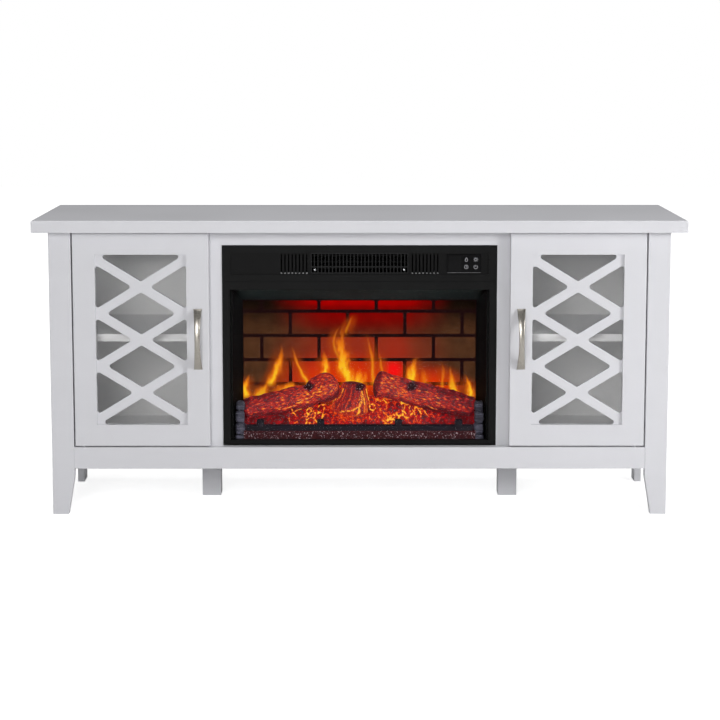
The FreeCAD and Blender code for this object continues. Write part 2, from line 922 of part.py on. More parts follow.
def grate():
    bar_top = grate_bottom + grate_bar
    nub_top = grate_bottom + grate_nub
    bar = block(-grate_half_width, grate_half_width, bed_front, grate_back, grate_bottom, bar_top)
    upper = [e for e in edges_along(bar, X_AXIS) if e.CenterOfMass.z > grate_bottom + 1]
    pieces = [bar.makeChamfer(grate_bevel, upper)]
    half = grate_nub_width / 2
    for x in (grate_nub_inner, grate_half_width - grate_nub_end):
        nub = block(x - half, x + half, bed_front, grate_back, grate_bottom, nub_top)
        pieces += side_by_side(nub.makeChamfer(grate_bevel, edges_at(nub, Z_AXIS, nub_top)))
    return joined(pieces)


def log(run, lumps):
    # Uneven closed sections square to a bent axis, joined into one stick.
    centres = [V(x, screen_front - setback, grate_bottom + rise) for x, setback, rise, radius in run]
    last = len(run) - 1
    rings = []
    for i, centre in enumerate(centres):
        radius = run[i][3]
        ahead = centres[min(i + 1, last)] - centres[max(i - 1, 0)]
        along = ahead.normalize()
        side = along.cross(Z_AXIS).normalize()
        up = side.cross(along).normalize()
        points = []
        for n in range(log_sides):
            turn = 2 * math.pi * n / log_sides
            lump = 0.07 * math.sin(2 * turn + lumps + i) + 0.05 * math.sin(3 * turn + 2 * lumps - i)
            r = radius * (1 + lump)
            points.append(centre + side * (r * math.cos(turn)) + up * (r * math.sin(turn)))
        rings.append(points)
    return faceted(rings)


def behind_the_bed():
    # Everything past the back of the bed, which the moulded log set leaves free.
    half = bed_half_width
    return block(-half, half, bed_back, rotor_y, chamber_floor, chamber_back_top)


# Electric insert, works
def rear_cover():
    cover = block(-shell_half, shell_half, shell_back, shell_back + sheet, floor_top, shell_top)
    cuts = [rod(gland_x, shell_back - 1, gland_z, Y_AXIS, gland_bore, sheet + 2)]
    half = intake_width / 2
    y0, y1 = shell_back - 1, shell_back + sheet + 1
    for row in range(intake_rows):
        for n in range(intake_slots):
            x = (n - (intake_slots - 1) / 2) * intake_pitch
            z = baffle_height + intake_rise + row * intake_row_pitch
            cuts.append(block(x - half, x + half, y0, y1, z, z + intake_height))
    return cover.cut(Part.makeCompound(cuts))


def cord_gland():
    y = shell_back + sheet
    corners = []
    for n in range(6):
        turn = math.pi * n / 3
        corners.append((gland_x + gland_radius * math.cos(turn), gland_z + gland_radius * math.sin(turn)))
    bore = rod(gland_x, y - 1, gland_z, Y_AXIS, gland_bore, gland_height + 2)
    return prism_xz(corners, y, y + gland_height).cut(bore)


def flame_rotor():
    start = -bearing_x - sheet - motor_gap
    end = rotor_half_length + motor_gap + bearing_setout
    pieces = [rod(start, rotor_y, rotor_z, X_AXIS, shaft_radius, end - start)]
    reach = rotor_half_length - flag_margin
    half = flag_thickness / 2
    for n in range(flag_count):
        x = -reach + 2 * reach / flag_count * n
        flag = block(x, x + flag_width, rotor_y - half, rotor_y + half, rotor_z - 1, rotor_z + flag_reach)
        flag.rotate(V(x, rotor_y, rotor_z), X_AXIS, 137.5 * n)
        pieces.append(flag)
    return joined(pieces)


def rotor_motor():
    x0 = rotor_half_length + motor_gap
    y0 = rotor_y - motor_foot_half
    y1 = rotor_y + motor_foot_half
    can = rod(x0, rotor_y, rotor_z, X_AXIS, motor_radius, motor_length)
    foot = block(x0, x0 + motor_foot, y0, y1, chamber_floor, rotor_z)
    base = block(x0, x0 + motor_length, y0, y1, chamber_floor, chamber_floor + motor_foot)
    bore = rod(x0 - 1, rotor_y, rotor_z, X_AXIS, shaft_radius + running_clearance, motor_length - 3)
    return joined([can, foot, base]).cut(bore)


def light_strip():
    half = rotor_half_length - lamp_strip_height + motor_foot
    y0 = rotor_y - lamp_strip_setback
    top = chamber_floor + lamp_strip_height
    lamps = [block(-half, half, y0, y0 + lamp_strip_width, chamber_floor, top)]
    lamp_y = y0 + (lamp_strip_width - lamp_size) / 2
    for n in range(lamp_count):
        x = (n - (lamp_count - 1) / 2) * 2 * half / lamp_count - lamp_size / 2
        lamps.append(block(x, x + lamp_size, lamp_y, lamp_y + lamp_size, top - 1, top + motor_foot))
    return joined(lamps)


def duct_outline(grow):
    # Straight outlet channel that opens into a round scroll about the blower.
    r = blower_radius + duct_clearance + grow
    reach = blower_y + r * 0.55
    outline = [(frame_back, outlet_bottom - grow), (blower_y, blower_z - r)]
    for degrees in (-60, -30, 0):
        turn = math.radians(degrees)
        outline.append((blower_y + r * math.cos(turn), blower_z + r * math.sin(turn)))
    outline += [(reach, outlet_top + grow), (frame_back, outlet_top + grow)]
    return outline


def blower_duct():
    half = duct_half_length
    inner = half - sheet
    skin = prism_yz(duct_outline(sheet), -half, half)
    hollow = prism_yz(duct_outline(0), -inner, inner)
    mouth = block(-inner, inner, frame_back - 1, frame_back + 1, outlet_bottom, outlet_top)
    ends = half - duct_foot
    intake = block(
        -ends, ends, blower_y + duct_intake_setback, blower_y + 3 * blower_radius,
        blower_z + duct_intake_rise, blower_z + 2 * blower_radius,
    )
    bore = rod(-half - 1, blower_y, blower_z, X_AXIS, shaft_radius + running_clearance, 2 * half + 2)
    foot_y = frame_back + duct_foot
    foot = block(ends, half, foot_y, foot_y + duct_foot, works_floor, outlet_bottom - sheet + 1)
    scroll = skin.cut(Part.makeCompound([hollow, intake])).cut(mouth).cut(bore)
    return joined([scroll] + side_by_side(foot))


def blower_rotor():
    half = blower_half_length
    start = -duct_half_length - blade_depth
    shaft_length = duct_half_length + motor_foot + bearing_setout + blade_depth - start
    pieces = [rod(start, blower_y, blower_z, X_AXIS, shaft_radius, shaft_length)]
    for x in (-half, half - motor_foot):
        pieces.append(rod(x, blower_y, blower_z, X_AXIS, blower_radius - 0.5, motor_foot))
    tip = blower_z + blower_radius
    y0 = blower_y - blade_thickness / 2
    for n in range(blower_blades):
        blade = block(-half, half, y0, y0 + blade_thickness, tip - blade_depth, tip)
        blade.rotate(V(0, blower_y, tip - blade_depth / 2), X_AXIS, blade_pitch_angle)
        blade.rotate(V(0, blower_y, blower_z), X_AXIS, 360.0 * n / blower_blades)
        pieces.append(blade)
    return joined(pieces)


def blower_motor():
    x0 = duct_half_length
    x1 = x0 + motor_foot
    half = blower_motor_half
    y0 = blower_y - half
    y1 = blower_y + half
    bracket = block(x0, x1, y0, y1, works_floor, blower_z + half)
    stack = block(x1, x1 + blower_motor_length, y0, y1, blower_z - half, blower_z + half)
    depth = blower_motor_length - motor_gap
    bore = rod(x0 - 1, blower_y, blower_z, X_AXIS, shaft_radius + running_clearance, depth)
    return joined([bracket, stack]).cut(bore)


def heating_element():
    half = duct_half_length - sheet
    y0 = heater_front
    y1 = heater_front + heater_depth
    mid = outlet_bottom + outlet_height / 2
    pieces = []
    for row in (-1, 0, 1):
        z = mid + row * heater_rod_pitch - heater_rod / 2
        pieces.append(block(-half, half, y0, y1, z, z + heater_rod))
    reach = half - heater_rod - motor_foot
    tall = heater_rod_pitch + heater_fin_thickness / 2
    for n in range(heater_fins):
        x = (n - (heater_fins - 1) / 2) * 2 * reach / heater_fins - heater_fin_thickness / 2
        pieces.append(block(x, x + heater_fin_thickness, y0 + 1, y1 - 1, mid - tall, mid + tall))
    return joined(pieces)


def insert_brackets():
    brackets = []
    x = shell_half
    y = stile_back
    for z in (floor_top + bracket_rise, shell_top - bracket_drop):
        upright = block(x, x + sheet, y, y + bracket_depth, z, z + bracket_height)
        ear = block(x, x + bracket_leg, y, y + sheet, z, z + bracket_height)
        brackets += side_by_side(joined([upright, ear]))
    return Part.makeCompound(brackets)


os.makedirs("parts", exist_ok=True)

write("top_panel", top_panel())
write_pair("front_post", front_post())
write_pair("side_panel", side_panel())
write_pair("partition", partition())
write_pair("centre_stile", centre_stile())
write("header_rail", header_rail())
write("bottom_panel", block(-side_inner, side_inner, face_back, back, floor_top - board, floor_top))
write("bottom_rail", bottom_rail())
write_pair("back_panel", back_panel())
write("support_legs", support_legs())
write_pair("shelf", shelf())
write("shelf_pins", shelf_pins())
write("pivot_bushes", pivot_bushes())

write_pair("door_frame", door_frame())
write_pair("door_lattice", lattice())
write_pair("door_glass", door_glass())
write_pair("glass_bead", glass_bead())
write_pair("handle", handle())
write_pair("pivot_pins", pivot_pins())

write("front_frame", front_frame())
write("header_panel", header_panel())
write("outlet_grille", outlet_grille())
write("front_glass", front_glass())
write("control_fascia", control_fascia())
write("display_window", display_space(frame_front))
write("control_board", control_board())
for row, z in enumerate(key_rows):
    for column, x in enumerate(key_columns):
        write(key_names[row][column], key(x, z))

write("firebox_shell", firebox_shell())
write("chamber_liner", chamber_liner())
write("brick_screen", brick_screen())
bed = embers()
write("ember_bed", Part.makeCompound([bed] + side_by_side(end_stone())))
write("grate", grate())
left_log = log(left_log_run, 0.4).cut(bed)
right_log = log(right_log_run, 2.1).cut(bed)
centre_log = log(centre_log_run, 1.2).cut(behind_the_bed()).cut(bed).cut(left_log).cut(right_log)
write("left_log", left_log)
write("right_log", right_log)
write("centre_log", centre_log)

write("rear_cover", rear_cover())
write("cord_gland", cord_gland())
write("flame_rotor", flame_rotor())
write("rotor_motor", rotor_motor())
write("light_strip", light_strip())
write("blower_duct", blower_duct())
write("blower_rotor", blower_rotor())
write("blower_motor", blower_motor())
write("heating_element", heating_element())
write("insert_brackets", insert_brackets())
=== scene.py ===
import math

import bpy
from bpy.props import FloatProperty, FloatVectorProperty, IntProperty, PointerProperty
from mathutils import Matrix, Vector, noise


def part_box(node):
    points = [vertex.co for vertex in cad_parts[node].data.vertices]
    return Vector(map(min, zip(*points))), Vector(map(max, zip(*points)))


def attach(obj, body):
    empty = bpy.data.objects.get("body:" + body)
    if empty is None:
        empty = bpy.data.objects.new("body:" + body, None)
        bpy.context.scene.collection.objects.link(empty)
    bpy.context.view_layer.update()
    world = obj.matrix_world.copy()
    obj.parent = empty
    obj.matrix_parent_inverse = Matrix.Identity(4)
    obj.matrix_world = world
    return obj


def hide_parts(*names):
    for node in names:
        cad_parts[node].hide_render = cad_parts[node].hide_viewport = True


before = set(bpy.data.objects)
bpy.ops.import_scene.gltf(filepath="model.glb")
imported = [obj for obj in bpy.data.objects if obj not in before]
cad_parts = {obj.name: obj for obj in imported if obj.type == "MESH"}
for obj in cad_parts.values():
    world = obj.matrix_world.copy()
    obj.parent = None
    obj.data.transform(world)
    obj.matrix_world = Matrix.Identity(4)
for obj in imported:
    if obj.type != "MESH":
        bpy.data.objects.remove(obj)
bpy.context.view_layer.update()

bl_info = {
    "name": "Electric fireplace mantel",
    "version": (1, 0, 0),
    "blender": (4, 5, 0),
    "location": "3D View > Sidebar > Mantel",
    "description": "Dresses the mantel's solids with finishes, a log fire, fasteners and a studio",
    "category": "Object",
}


# The camera that fits the photograph, in metres, degrees and picture widths
CAMERA_PLACE = (-0.0039, -4.1867, 1.0244)
CAMERA_TILT = 7.042
CAMERA_TURN = -0.069
CAMERA_SHIFT = -0.12
SENSOR_WIDTH = 36.0
# Where the lamps aim, the way to the key lamp, and the other lamps' places
LAMP_AIM = Vector((0.0, -0.1, 0.33))
KEY_WAY = Vector((1.6, -1.0, 0.5)).normalized()
FILL_PLACE = Vector((-0.95, -4.85, 1.75))
TOP_PLACE = Vector((0.0, -0.1, 4.0))
FLOOR_HALF = 9.0


# Properties that a user would change
def tone(name, description, default):
    return FloatVectorProperty(
        name=name, description=description, subtype="COLOR", size=3, min=0.0, max=1.0, default=default
    )


def length(name, description, default):
    return FloatProperty(
        name=name, description=description, subtype="DISTANCE", unit="LENGTH", precision=5, default=default
    )


def amount(name, description, default):
    return FloatProperty(name=name, description=description, min=0.0, default=default)


def power(name, description, default):
    return FloatProperty(name=name, description=description, unit="POWER", default=default)


class MantelFinishes(bpy.types.PropertyGroup):
    paint: tone("Paint", "White lacquer of the boards and doors", (0.650, 0.650, 0.680))
    # Partly painted light: these whites are brighter than the paint outside, to stand in for light inside the
    # compartments
    inner_white: tone("Inner white", "Melamine film inside the compartments", (0.92, 0.92, 0.93))
    hardboard: tone("Hardboard", "White film on the thin back panels", (0.95, 0.95, 0.95))
    nickel: tone("Nickel", "Satin nickel of the handles", (0.50, 0.470, 0.420))
    zinc: tone("Zinc", "Zinc plate of pins, screws and brackets", (0.56, 0.57, 0.58))
    black_steel: tone("Black steel", "Powder coat of the insert's frame and shell", (0.0046, 0.0047, 0.0048))
    black_plastic: tone("Black plastic", "Moulded header and blower", (0.0034, 0.0034, 0.0036))
    grille: tone("Grille plastic", "Moulded outlet grille", (0.0090, 0.0090, 0.0094))
    gloss_black: tone("Gloss black", "Control fascia, display and keys", (0.0032, 0.0032, 0.0036))
    lens: tone("Smoked lens", "Dark display window", (0.0016, 0.0016, 0.0019))
    # Painted glint: this pale grey on the lips under the slots and the fascia stands in for light they catch
    glint_grey: tone("Glint grey", "Worn lips under the slots and the fascia", (0.24, 0.24, 0.245))
    symbol: tone("Symbols", "Printed symbols on the keys", (0.36, 0.36, 0.38))
    circuit: tone("Circuit board", "Solder mask of the boards", (0.02, 0.13, 0.055))
    # Painted light: the screen shows this brick colour as its own glow
    brick: tone("Brick", "Unlit bricks on the screen", (0.062, 0.0240, 0.0098))
    mortar: tone("Mortar", "Joints between the bricks", (0.0085, 0.0020, 0.0030))
    red_glow: tone("Red glow", "Lamp light on the upper bricks", (0.47, 0.000, 0.000))
    bark: tone("Bark", "Moulded bark of the logs", (0.030, 0.006, 0.007))
    ember: tone("Ember", "Moulded ember bed", (0.045, 0.004, 0.004))
    stone: tone("Ash stone", "Grey stones at the ends of the bed", (0.075, 0.073, 0.105))
    soot: tone("Soot", "Black lining of the fire chamber", (0.0016, 0.0016, 0.0018))
    # Partly painted light: this grey is lifted for the front light the hood catches and tinted against the
    # red glow on it
    hood: tone("Hood", "Grey slope over the fire", (0.017, 0.026, 0.026))
    grate: tone("Grate", "Painted grate in front of the embers", (0.0042, 0.0024, 0.0060))
    aluminium: tone("Aluminium", "Bright flags of the flame rotor", (0.78, 0.78, 0.79))


class MantelSizes(bpy.types.PropertyGroup):
    handle_crown: length("Handle crown", "Rise of the handle's face across its width", 0.0011)
    handle_edge: length("Handle edge", "Rounding of the handle's edges", 0.0012)
    handle_end_bow: length("Handle end bow", "Rounding of the handle's two ends", 0.0050)
    bark_depth: length("Bark depth", "Depth of the furrows in the bark", 0.0034)
    coal_size: length("Coal size", "Spacing of the coals in the ember bed", 0.0135)
    coal_rise: length("Coal rise", "Height of a coal over the bed", 0.0055)
    screw_head: length("Screw head", "Diameter of a panel screw's head", 0.0068)
    handle_screw: length("Handle screw", "Diameter of a handle screw's head", 0.0085)
    grille_screw: length("Grille screw", "Diameter of a grille screw's head", 0.0046)
    symbol_radius: length("Symbol radius", "Radius of a key symbol", 0.0040)
    symbol_stroke: length("Symbol stroke", "Line width of a key symbol", 0.0010)
    symbol_rise: length("Symbol rise", "Height of a symbol over its key", 0.00008)
    symbol_root: length("Symbol root", "Depth of a symbol in its key", 0.0002)
    turn_seed: IntProperty(name="Turn seed", description="Seed of the screw heads' turns", default=7, min=0)


class MantelStage(bpy.types.PropertyGroup):
    key_power: power("Key lamp", "Power of the lamp on the right", 76.0)
    key_distance: length("Key distance", "Distance of the key lamp from the middle", 4.0)
    key_size: length("Key size", "Width of the key lamp", 0.9)
    fill_power: power("Fill lamp", "Power of the lamp in front", 80.0)
    top_power: power("Top lamp", "Power of the lamp overhead", 50.0)
    fill_size: length("Fill size", "Width of the fill lamp", 1.4)
    top_size: length("Top size", "Width of the top lamp", 2.0)
    world_light: amount("Room light", "Level of the even light from all sides", 0.19)
    floor_lift: amount("Floor lift", "Light added to the floor as the camera sees it", 0.72)
    floor: tone("Floor", "Pale studio floor", (0.88, 0.88, 0.88))
    lens: FloatProperty(name="Lens", description="Focal length", unit="CAMERA", default=94.14)


# Node helpers
class Graph:
    """Adds nodes to one tree, and feeds sockets or plain values into them."""

    def __init__(self, tree):
        self.tree = tree

    def feed(self, socket, value):
        if isinstance(value, bpy.types.NodeSocket):
            self.tree.links.new(value, socket)
        else:
            socket.default_value = value

    def node(self, kind, inputs=None, **settings):
        made = self.tree.nodes.new(kind)
        for key, value in settings.items():
            setattr(made, key, value)
        for key, value in (inputs or {}).items():
            self.feed(made.inputs[key], value)
        return made

    def math(self, operation, *values, clamp=False):
        made = self.node("ShaderNodeMath", operation=operation, use_clamp=clamp)
        for socket, value in zip(made.inputs, values):
            self.feed(socket, value)
        return made.outputs[0]

    def add(self, a, b):
        return self.math("ADD", a, b)

    def minus(self, a, b):
        return self.math("SUBTRACT", a, b)

    def times(self, a, b):
        return self.math("MULTIPLY", a, b)

    def span(self, value, low, high, to_low=0.0, to_high=1.0):
        inputs = {"Value": value, "From Min": low, "From Max": high, "To Min": to_low, "To Max": to_high}
        return self.node("ShaderNodeMapRange", inputs, interpolation_type="SMOOTHSTEP").outputs[0]

    def mix(self, factor, a, b, blend="MIX"):
        made = self.node("ShaderNodeMix", data_type="RGBA", blend_type=blend)
        for index, value in ((0, factor), (6, a), (7, b)):
            self.feed(made.inputs[index], value)
        return made.outputs[2]

    def grey(self, value):
        return self.node("ShaderNodeCombineColor", {"Red": value, "Green": value, "Blue": value}).outputs[0]

    def shade(self, colour, value):
        return self.mix(1.0, colour, self.grey(value), "MULTIPLY")

    def place(self):
        return self.node("ShaderNodeTexCoord").outputs["Object"]

    def turned(self, vector, scale, rotation=(0.0, 0.0, 0.0)):
        inputs = {"Vector": vector, "Scale": scale, "Rotation": rotation}
        return self.node("ShaderNodeMapping", inputs).outputs[0]

    def scaled(self, vector, factors):
        return self.node("ShaderNodeVectorMath", {0: vector, 1: factors}, operation="MULTIPLY").outputs[0]

    def noise(self, vector, scale, detail=2.0, rough=0.5, warp=0.0):
        inputs = {"Vector": vector, "Scale": scale, "Detail": detail, "Roughness": rough, "Distortion": warp}
        return self.node("ShaderNodeTexNoise", inputs).outputs[0]

    def cells(self, vector, scale):
        inputs = {"Vector": vector, "Scale": scale}
        return self.node("ShaderNodeTexVoronoi", inputs, feature="DISTANCE_TO_EDGE").outputs["Distance"]

    def ramp(self, value, stops):
        made = self.node("ShaderNodeValToRGB", {"Fac": value})
        band = made.color_ramp
        while len(band.elements) < len(stops):
            band.elements.new(0.5)
        for element, (position, colour) in zip(band.elements, stops):
            element.position = position
            element.color = (*colour, 1.0)
        return made.outputs["Color"]

    def parts(self, vector):
        return self.node("ShaderNodeSeparateXYZ", {"Vector": vector}).outputs

    def attribute(self, name):
        return self.node("ShaderNodeAttribute", attribute_name=name).outputs["Fac"]


def new_group(name, takes, gives):
    tree = bpy.data.node_groups.new(name, "ShaderNodeTree")
    for label, kind in takes:
        tree.interface.new_socket(label, in_out="INPUT", socket_type="NodeSocket" + kind)
    for label, kind in gives:
        tree.interface.new_socket(label, in_out="OUTPUT", socket_type="NodeSocket" + kind)
    graph = Graph(tree)
    graph.taken = graph.node("NodeGroupInput").outputs
    graph.given = graph.node("NodeGroupOutput").inputs
    return graph


def rgba(colour):
    return (*colour, 1.0)


# What each effect of a plain surface gives
SURFACE = (("Colour", "Color"), ("Roughness", "Float"), ("Height", "Float"))


def lacquer_film():
    """Sprayed lacquer: slow drift of tone, a faint orange peel and a gloss that wanders."""
    g = new_group("lacquer film", (("Place", "Vector"), ("Colour", "Color"), ("Drift", "Float")), SURFACE)
    place = g.taken["Place"]
    cloud = g.noise(place, 3.1, 3.0)
    haze = g.noise(g.turned(place, (5.0, 5.0, 34.0)), 1.0, 3.0)
    peel = g.noise(place, 330.0, 1.5, 0.4)
    lean = g.add(g.minus(cloud, 0.5), g.times(g.minus(haze, 0.5), 0.6))
    level = g.add(g.times(lean, g.taken["Drift"]), 1.0)
    g.feed(g.given["Colour"], g.shade(g.taken["Colour"], level))
    g.feed(g.given["Roughness"], g.span(g.add(cloud, g.times(peel, 0.25)), 0.3, 0.95, 0.34, 0.47))
    g.feed(g.given["Height"], g.add(peel, g.times(haze, 0.35)))
    return g.tree


def textured_coat():
    """Powder coat or spark-eroded plastic: fine pebbles, with dust that lifts the tone in patches."""
    takes = (("Place", "Vector"), ("Colour", "Color"), ("Grain", "Float"), ("Gloss", "Float"))
    g = new_group("textured coat", takes, SURFACE)
    place = g.taken["Place"]
    pebble = g.noise(place, g.taken["Grain"], 2.0, 0.6)
    dust = g.noise(place, 11.0, 5.0, 0.62)
    level = g.add(g.span(dust, 0.35, 0.75, 0.82, 1.35), g.times(g.minus(pebble, 0.5), 0.5))
    g.feed(g.given["Colour"], g.shade(g.taken["Colour"], level))
    g.feed(g.given["Roughness"], g.add(g.taken["Gloss"], g.times(g.minus(dust, 0.5), 0.22)))
    g.feed(g.given["Height"], pebble)
    return g.tree


def brushed_lines():
    """Fine lines along one direction, as a brushed or drawn metal shows."""
    takes = (("Place", "Vector"), ("Colour", "Color"), ("Lines", "Vector"), ("Gloss", "Float"))
    g = new_group("brushed lines", takes, SURFACE)
    lines = g.noise(g.scaled(g.taken["Place"], g.taken["Lines"]), 1.0, 4.0, 0.65)
    smudge = g.noise(g.taken["Place"], 26.0, 3.0)
    level = g.add(g.span(lines, 0.25, 0.8, 0.84, 1.1), g.times(g.minus(smudge, 0.5), 0.12))
    g.feed(g.given["Colour"], g.shade(g.taken["Colour"], level))
    spread = g.add(g.times(g.minus(lines, 0.5), 0.2), g.times(g.minus(smudge, 0.5), 0.16))
    g.feed(g.given["Roughness"], g.add(g.taken["Gloss"], spread))
    g.feed(g.given["Height"], lines)
    return g.tree


def flame_tongue():
    """One tongue of flame light in the XZ plane, from a base to a bent tip."""
    takes = (
        ("Place", "Vector"), ("Base", "Vector"), ("Tip", "Vector"), ("Bend", "Float"), ("Width", "Float"),
        ("Level", "Float"),
    )
    g = new_group("flame tongue", takes, (("Body", "Float"), ("Core", "Float"), ("Halo", "Float")))
    here, base, tip = (g.parts(g.taken[name]) for name in ("Place", "Base", "Tip"))
    rise = g.math("DIVIDE", g.minus(here["Z"], base["Z"]), g.minus(tip["Z"], base["Z"]), clamp=True)
    left = g.minus(1.0, rise)
    lick = g.minus(g.noise(g.turned(g.taken["Place"], (1.0, 1.0, 0.55)), 58.0, 3.0), 0.5)
    bow = g.times(g.times(g.taken["Bend"], 4.0), g.times(rise, left))
    line = g.add(g.add(base["X"], g.times(g.minus(tip["X"], base["X"]), rise)), bow)
    aside = g.add(g.minus(here["X"], line), g.times(lick, g.times(g.taken["Width"], 1.5)))
    half = g.add(g.times(g.taken["Width"], g.math("POWER", left, 0.75)), 0.0005)
    edge = g.math("DIVIDE", g.math("ABSOLUTE", aside), half)
    under = g.span(g.minus(here["Z"], base["Z"]), -0.014, 0.002)
    fade = g.span(rise, 0.45, 1.0, 1.0, 0.0)
    body = g.times(g.times(g.span(edge, 0.15, 1.05, 1.0, 0.0), fade), under)
    core = g.times(g.times(g.span(edge, 0.0, 0.62, 1.0, 0.0), g.span(rise, 0.1, 0.8, 1.0, 0.0)), under)
    g.feed(g.given["Body"], g.times(body, g.taken["Level"]))
    g.feed(g.given["Core"], g.times(core, g.taken["Level"]))
    wide = g.math("DIVIDE", g.math("ABSOLUTE", aside), g.add(half, 0.012))
    g.feed(g.given["Halo"], g.times(g.times(g.span(wide, 0.2, 1.3, 1.0, 0.0), fade), under))
    return g.tree


def ember_veins():
    """Bright broken veins along the fibres of a lit resin moulding."""
    takes = (("Place", "Vector"), ("Fibres", "Vector"), ("Reach", "Float"))
    g = new_group("ember veins", takes, (("Vein", "Float"), ("Height", "Float")))
    fibre = g.noise(g.scaled(g.taken["Place"], g.taken["Fibres"]), 1.0, 4.0, 0.62, 0.4)
    patch = g.noise(g.taken["Place"], 46.0, 3.0)
    crack = g.span(g.math("ABSOLUTE", g.minus(fibre, 0.5)), 0.0, 0.075, 1.0, 0.0)
    g.feed(g.given["Vein"], g.times(g.times(crack, g.span(patch, 0.34, 0.62)), g.taken["Reach"]))
    g.feed(g.given["Height"], fibre)
    return g.tree


GROUP_MAKERS = {
    "lacquer film": lacquer_film,
    "textured coat": textured_coat,
    "brushed lines": brushed_lines,
    "flame tongue": flame_tongue,
    "ember veins": ember_veins,
}


def effect(graph, name, **inputs):
    """Places a shared effect in a material, made on its first use."""
    tree = bpy.data.node_groups.get(name) or GROUP_MAKERS[name]()
    made = graph.node("ShaderNodeGroup", node_tree=tree)
    for label, value in inputs.items():
        graph.feed(made.inputs[label], value)
    return made.outputs


# Finishes
def new_material(name):
    material = bpy.data.materials.new(name)
    material.use_nodes = True
    graph = Graph(material.node_tree)
    return material, graph, material.node_tree.nodes["Principled BSDF"].inputs


def cover(graph, shader, height, strength, distance, **inputs):
    """Feeds a shader's inputs, named with underscores for spaces, and a bump of the given height."""
    for label, value in inputs.items():
        graph.feed(shader[label.replace("_", " ")], value)
    bump = graph.node("ShaderNodeBump", {"Height": height, "Strength": strength, "Distance": distance})
    graph.feed(shader["Normal"], bump.outputs["Normal"])


def dressed(name, group, colour, strength, distance, metallic=0.0, specular=0.5, **inputs):
    """A material whose colour, gloss and relief come from one of the surface effects."""
    material, g, shader = new_material(name)
    made = effect(g, group, Place=g.place(), Colour=rgba(colour), **inputs)
    cover(
        g, shader, made["Height"], strength, distance, Base_Color=made["Colour"], Roughness=made["Roughness"],
        Metallic=metallic, Specular_IOR_Level=specular,
    )
    return material


# What a pane lets through of the light that falls on things behind it
CLEAR_TINT = (0.98, 0.978, 0.974, 1.0)


def pane(name, tint, ior):
    """Clear glass that lets lamps through, with a trace of haze from wiping."""
    material, g, shader = new_material(name)
    smear = g.noise(g.turned(g.place(), (7.0, 7.0, 2.0)), 3.0, 4.0)
    g.feed(shader["Base Color"], g.shade(rgba(tint), g.span(smear, 0.2, 0.8, 0.97, 1.0)))
    g.feed(shader["Roughness"], g.span(smear, 0.3, 0.8, 0.0, 0.02))
    shader["Transmission Weight"].default_value = 1.0
    shader["IOR"].default_value = ior
    rays = g.node("ShaderNodeLightPath").outputs
    passing = g.math("MAXIMUM", rays["Is Shadow Ray"], rays["Is Diffuse Ray"])
    clear = g.node("ShaderNodeBsdfTransparent", {"Color": CLEAR_TINT})
    principled = material.node_tree.nodes["Principled BSDF"]
    joined = g.node("ShaderNodeMixShader", {0: passing, 1: principled.outputs[0], 2: clear.outputs[0]})
    output = material.node_tree.nodes["Material Output"]
    g.feed(output.inputs["Surface"], joined.outputs[0])
    return material


FLAMES = (
    # base x, base z, tip x, tip z, bend, half width, level
    (-0.255, 0.242, -0.243, 0.292, -0.004, 0.015, 1.0),
    (-0.224, 0.242, -0.200, 0.278, 0.000, 0.024, 0.75),
    (-0.165, 0.250, -0.146, 0.275, 0.000, 0.034, 0.8),
    (-0.197, 0.270, -0.175, 0.360, 0.007, 0.017, 0.95),
    (-0.115, 0.268, -0.150, 0.358, -0.006, 0.008, 0.72),
    (-0.077, 0.282, -0.076, 0.346, 0.000, 0.018, 1.0),
    (-0.017, 0.262, -0.034, 0.412, -0.015, 0.024, 1.0),
    (-0.048, 0.330, -0.038, 0.406, -0.013, 0.006, 0.42),
    (-0.030, 0.386, -0.013, 0.426, 0.000, 0.005, 0.38),
    (-0.006, 0.260, 0.002, 0.306, 0.000, 0.034, 0.95),
    (0.030, 0.270, 0.013, 0.388, 0.006, 0.008, 0.55),
    (0.052, 0.286, 0.042, 0.345, 0.000, 0.005, 0.45),
    (0.116, 0.274, 0.126, 0.332, -0.002, 0.019, 1.0),
    (0.145, 0.258, 0.138, 0.306, 0.003, 0.015, 0.42),
    (0.181, 0.246, 0.183, 0.322, 0.003, 0.008, 0.48),
    (0.214, 0.240, 0.204, 0.312, -0.003, 0.014, 0.85),
    (0.247, 0.242, 0.233, 0.290, 0.003, 0.014, 1.0),
)


# The bricks' layout on the screen, as the solid has it
COURSE_TOP = 0.4299
COURSE_RISE = 0.0544
BRICK_JOINT = 0.0371
BRICK_PITCH = 0.1271
BRICK_RELIEF = 0.0012
# Middle and radii, across and up, of the patches of light on the bricks
WARM_PATCH = ((0.0, 0.335), (0.23, 0.12))
RED_SPOT = ((0.076, 0.296), (0.034, 0.036))
RED_VEIL = ((0.084, 0.345), (0.044, 0.056))
LEFT_HEARTH = ((-0.038, 0.275), (0.19, 0.075))
RIGHT_HEARTH = ((0.155, 0.258), (0.1, 0.06))
# Colours of that light, and of the flames
WARM_LIGHT = (0.30, 0.022, 0.008, 1.0)
HEARTH_LIGHT = (0.76, 0.026, 0.001, 1.0)
SPOT_LIGHT = (0.92, 0.004, 0.006, 1.0)
HALO_LIGHT = (0.50, 0.070, 0.003, 1.0)
FLAME_BODY = (0.92, 0.190, 0.006, 1.0)
FLAME_CORE = (1.0, 0.62, 0.020, 1.0)


def oval(g, x, z, centre, radii):
    """Soft round patch of light in the XZ plane, 1 in the middle and 0 at its edge."""
    across = g.math("DIVIDE", g.minus(x, centre[0]), radii[0])
    upward = g.math("DIVIDE", g.minus(z, centre[1]), radii[1])
    far = g.math("SQRT", g.add(g.times(across, across), g.times(upward, upward)))
    return g.span(far, 0.15, 1.0, 1.0, 0.0)


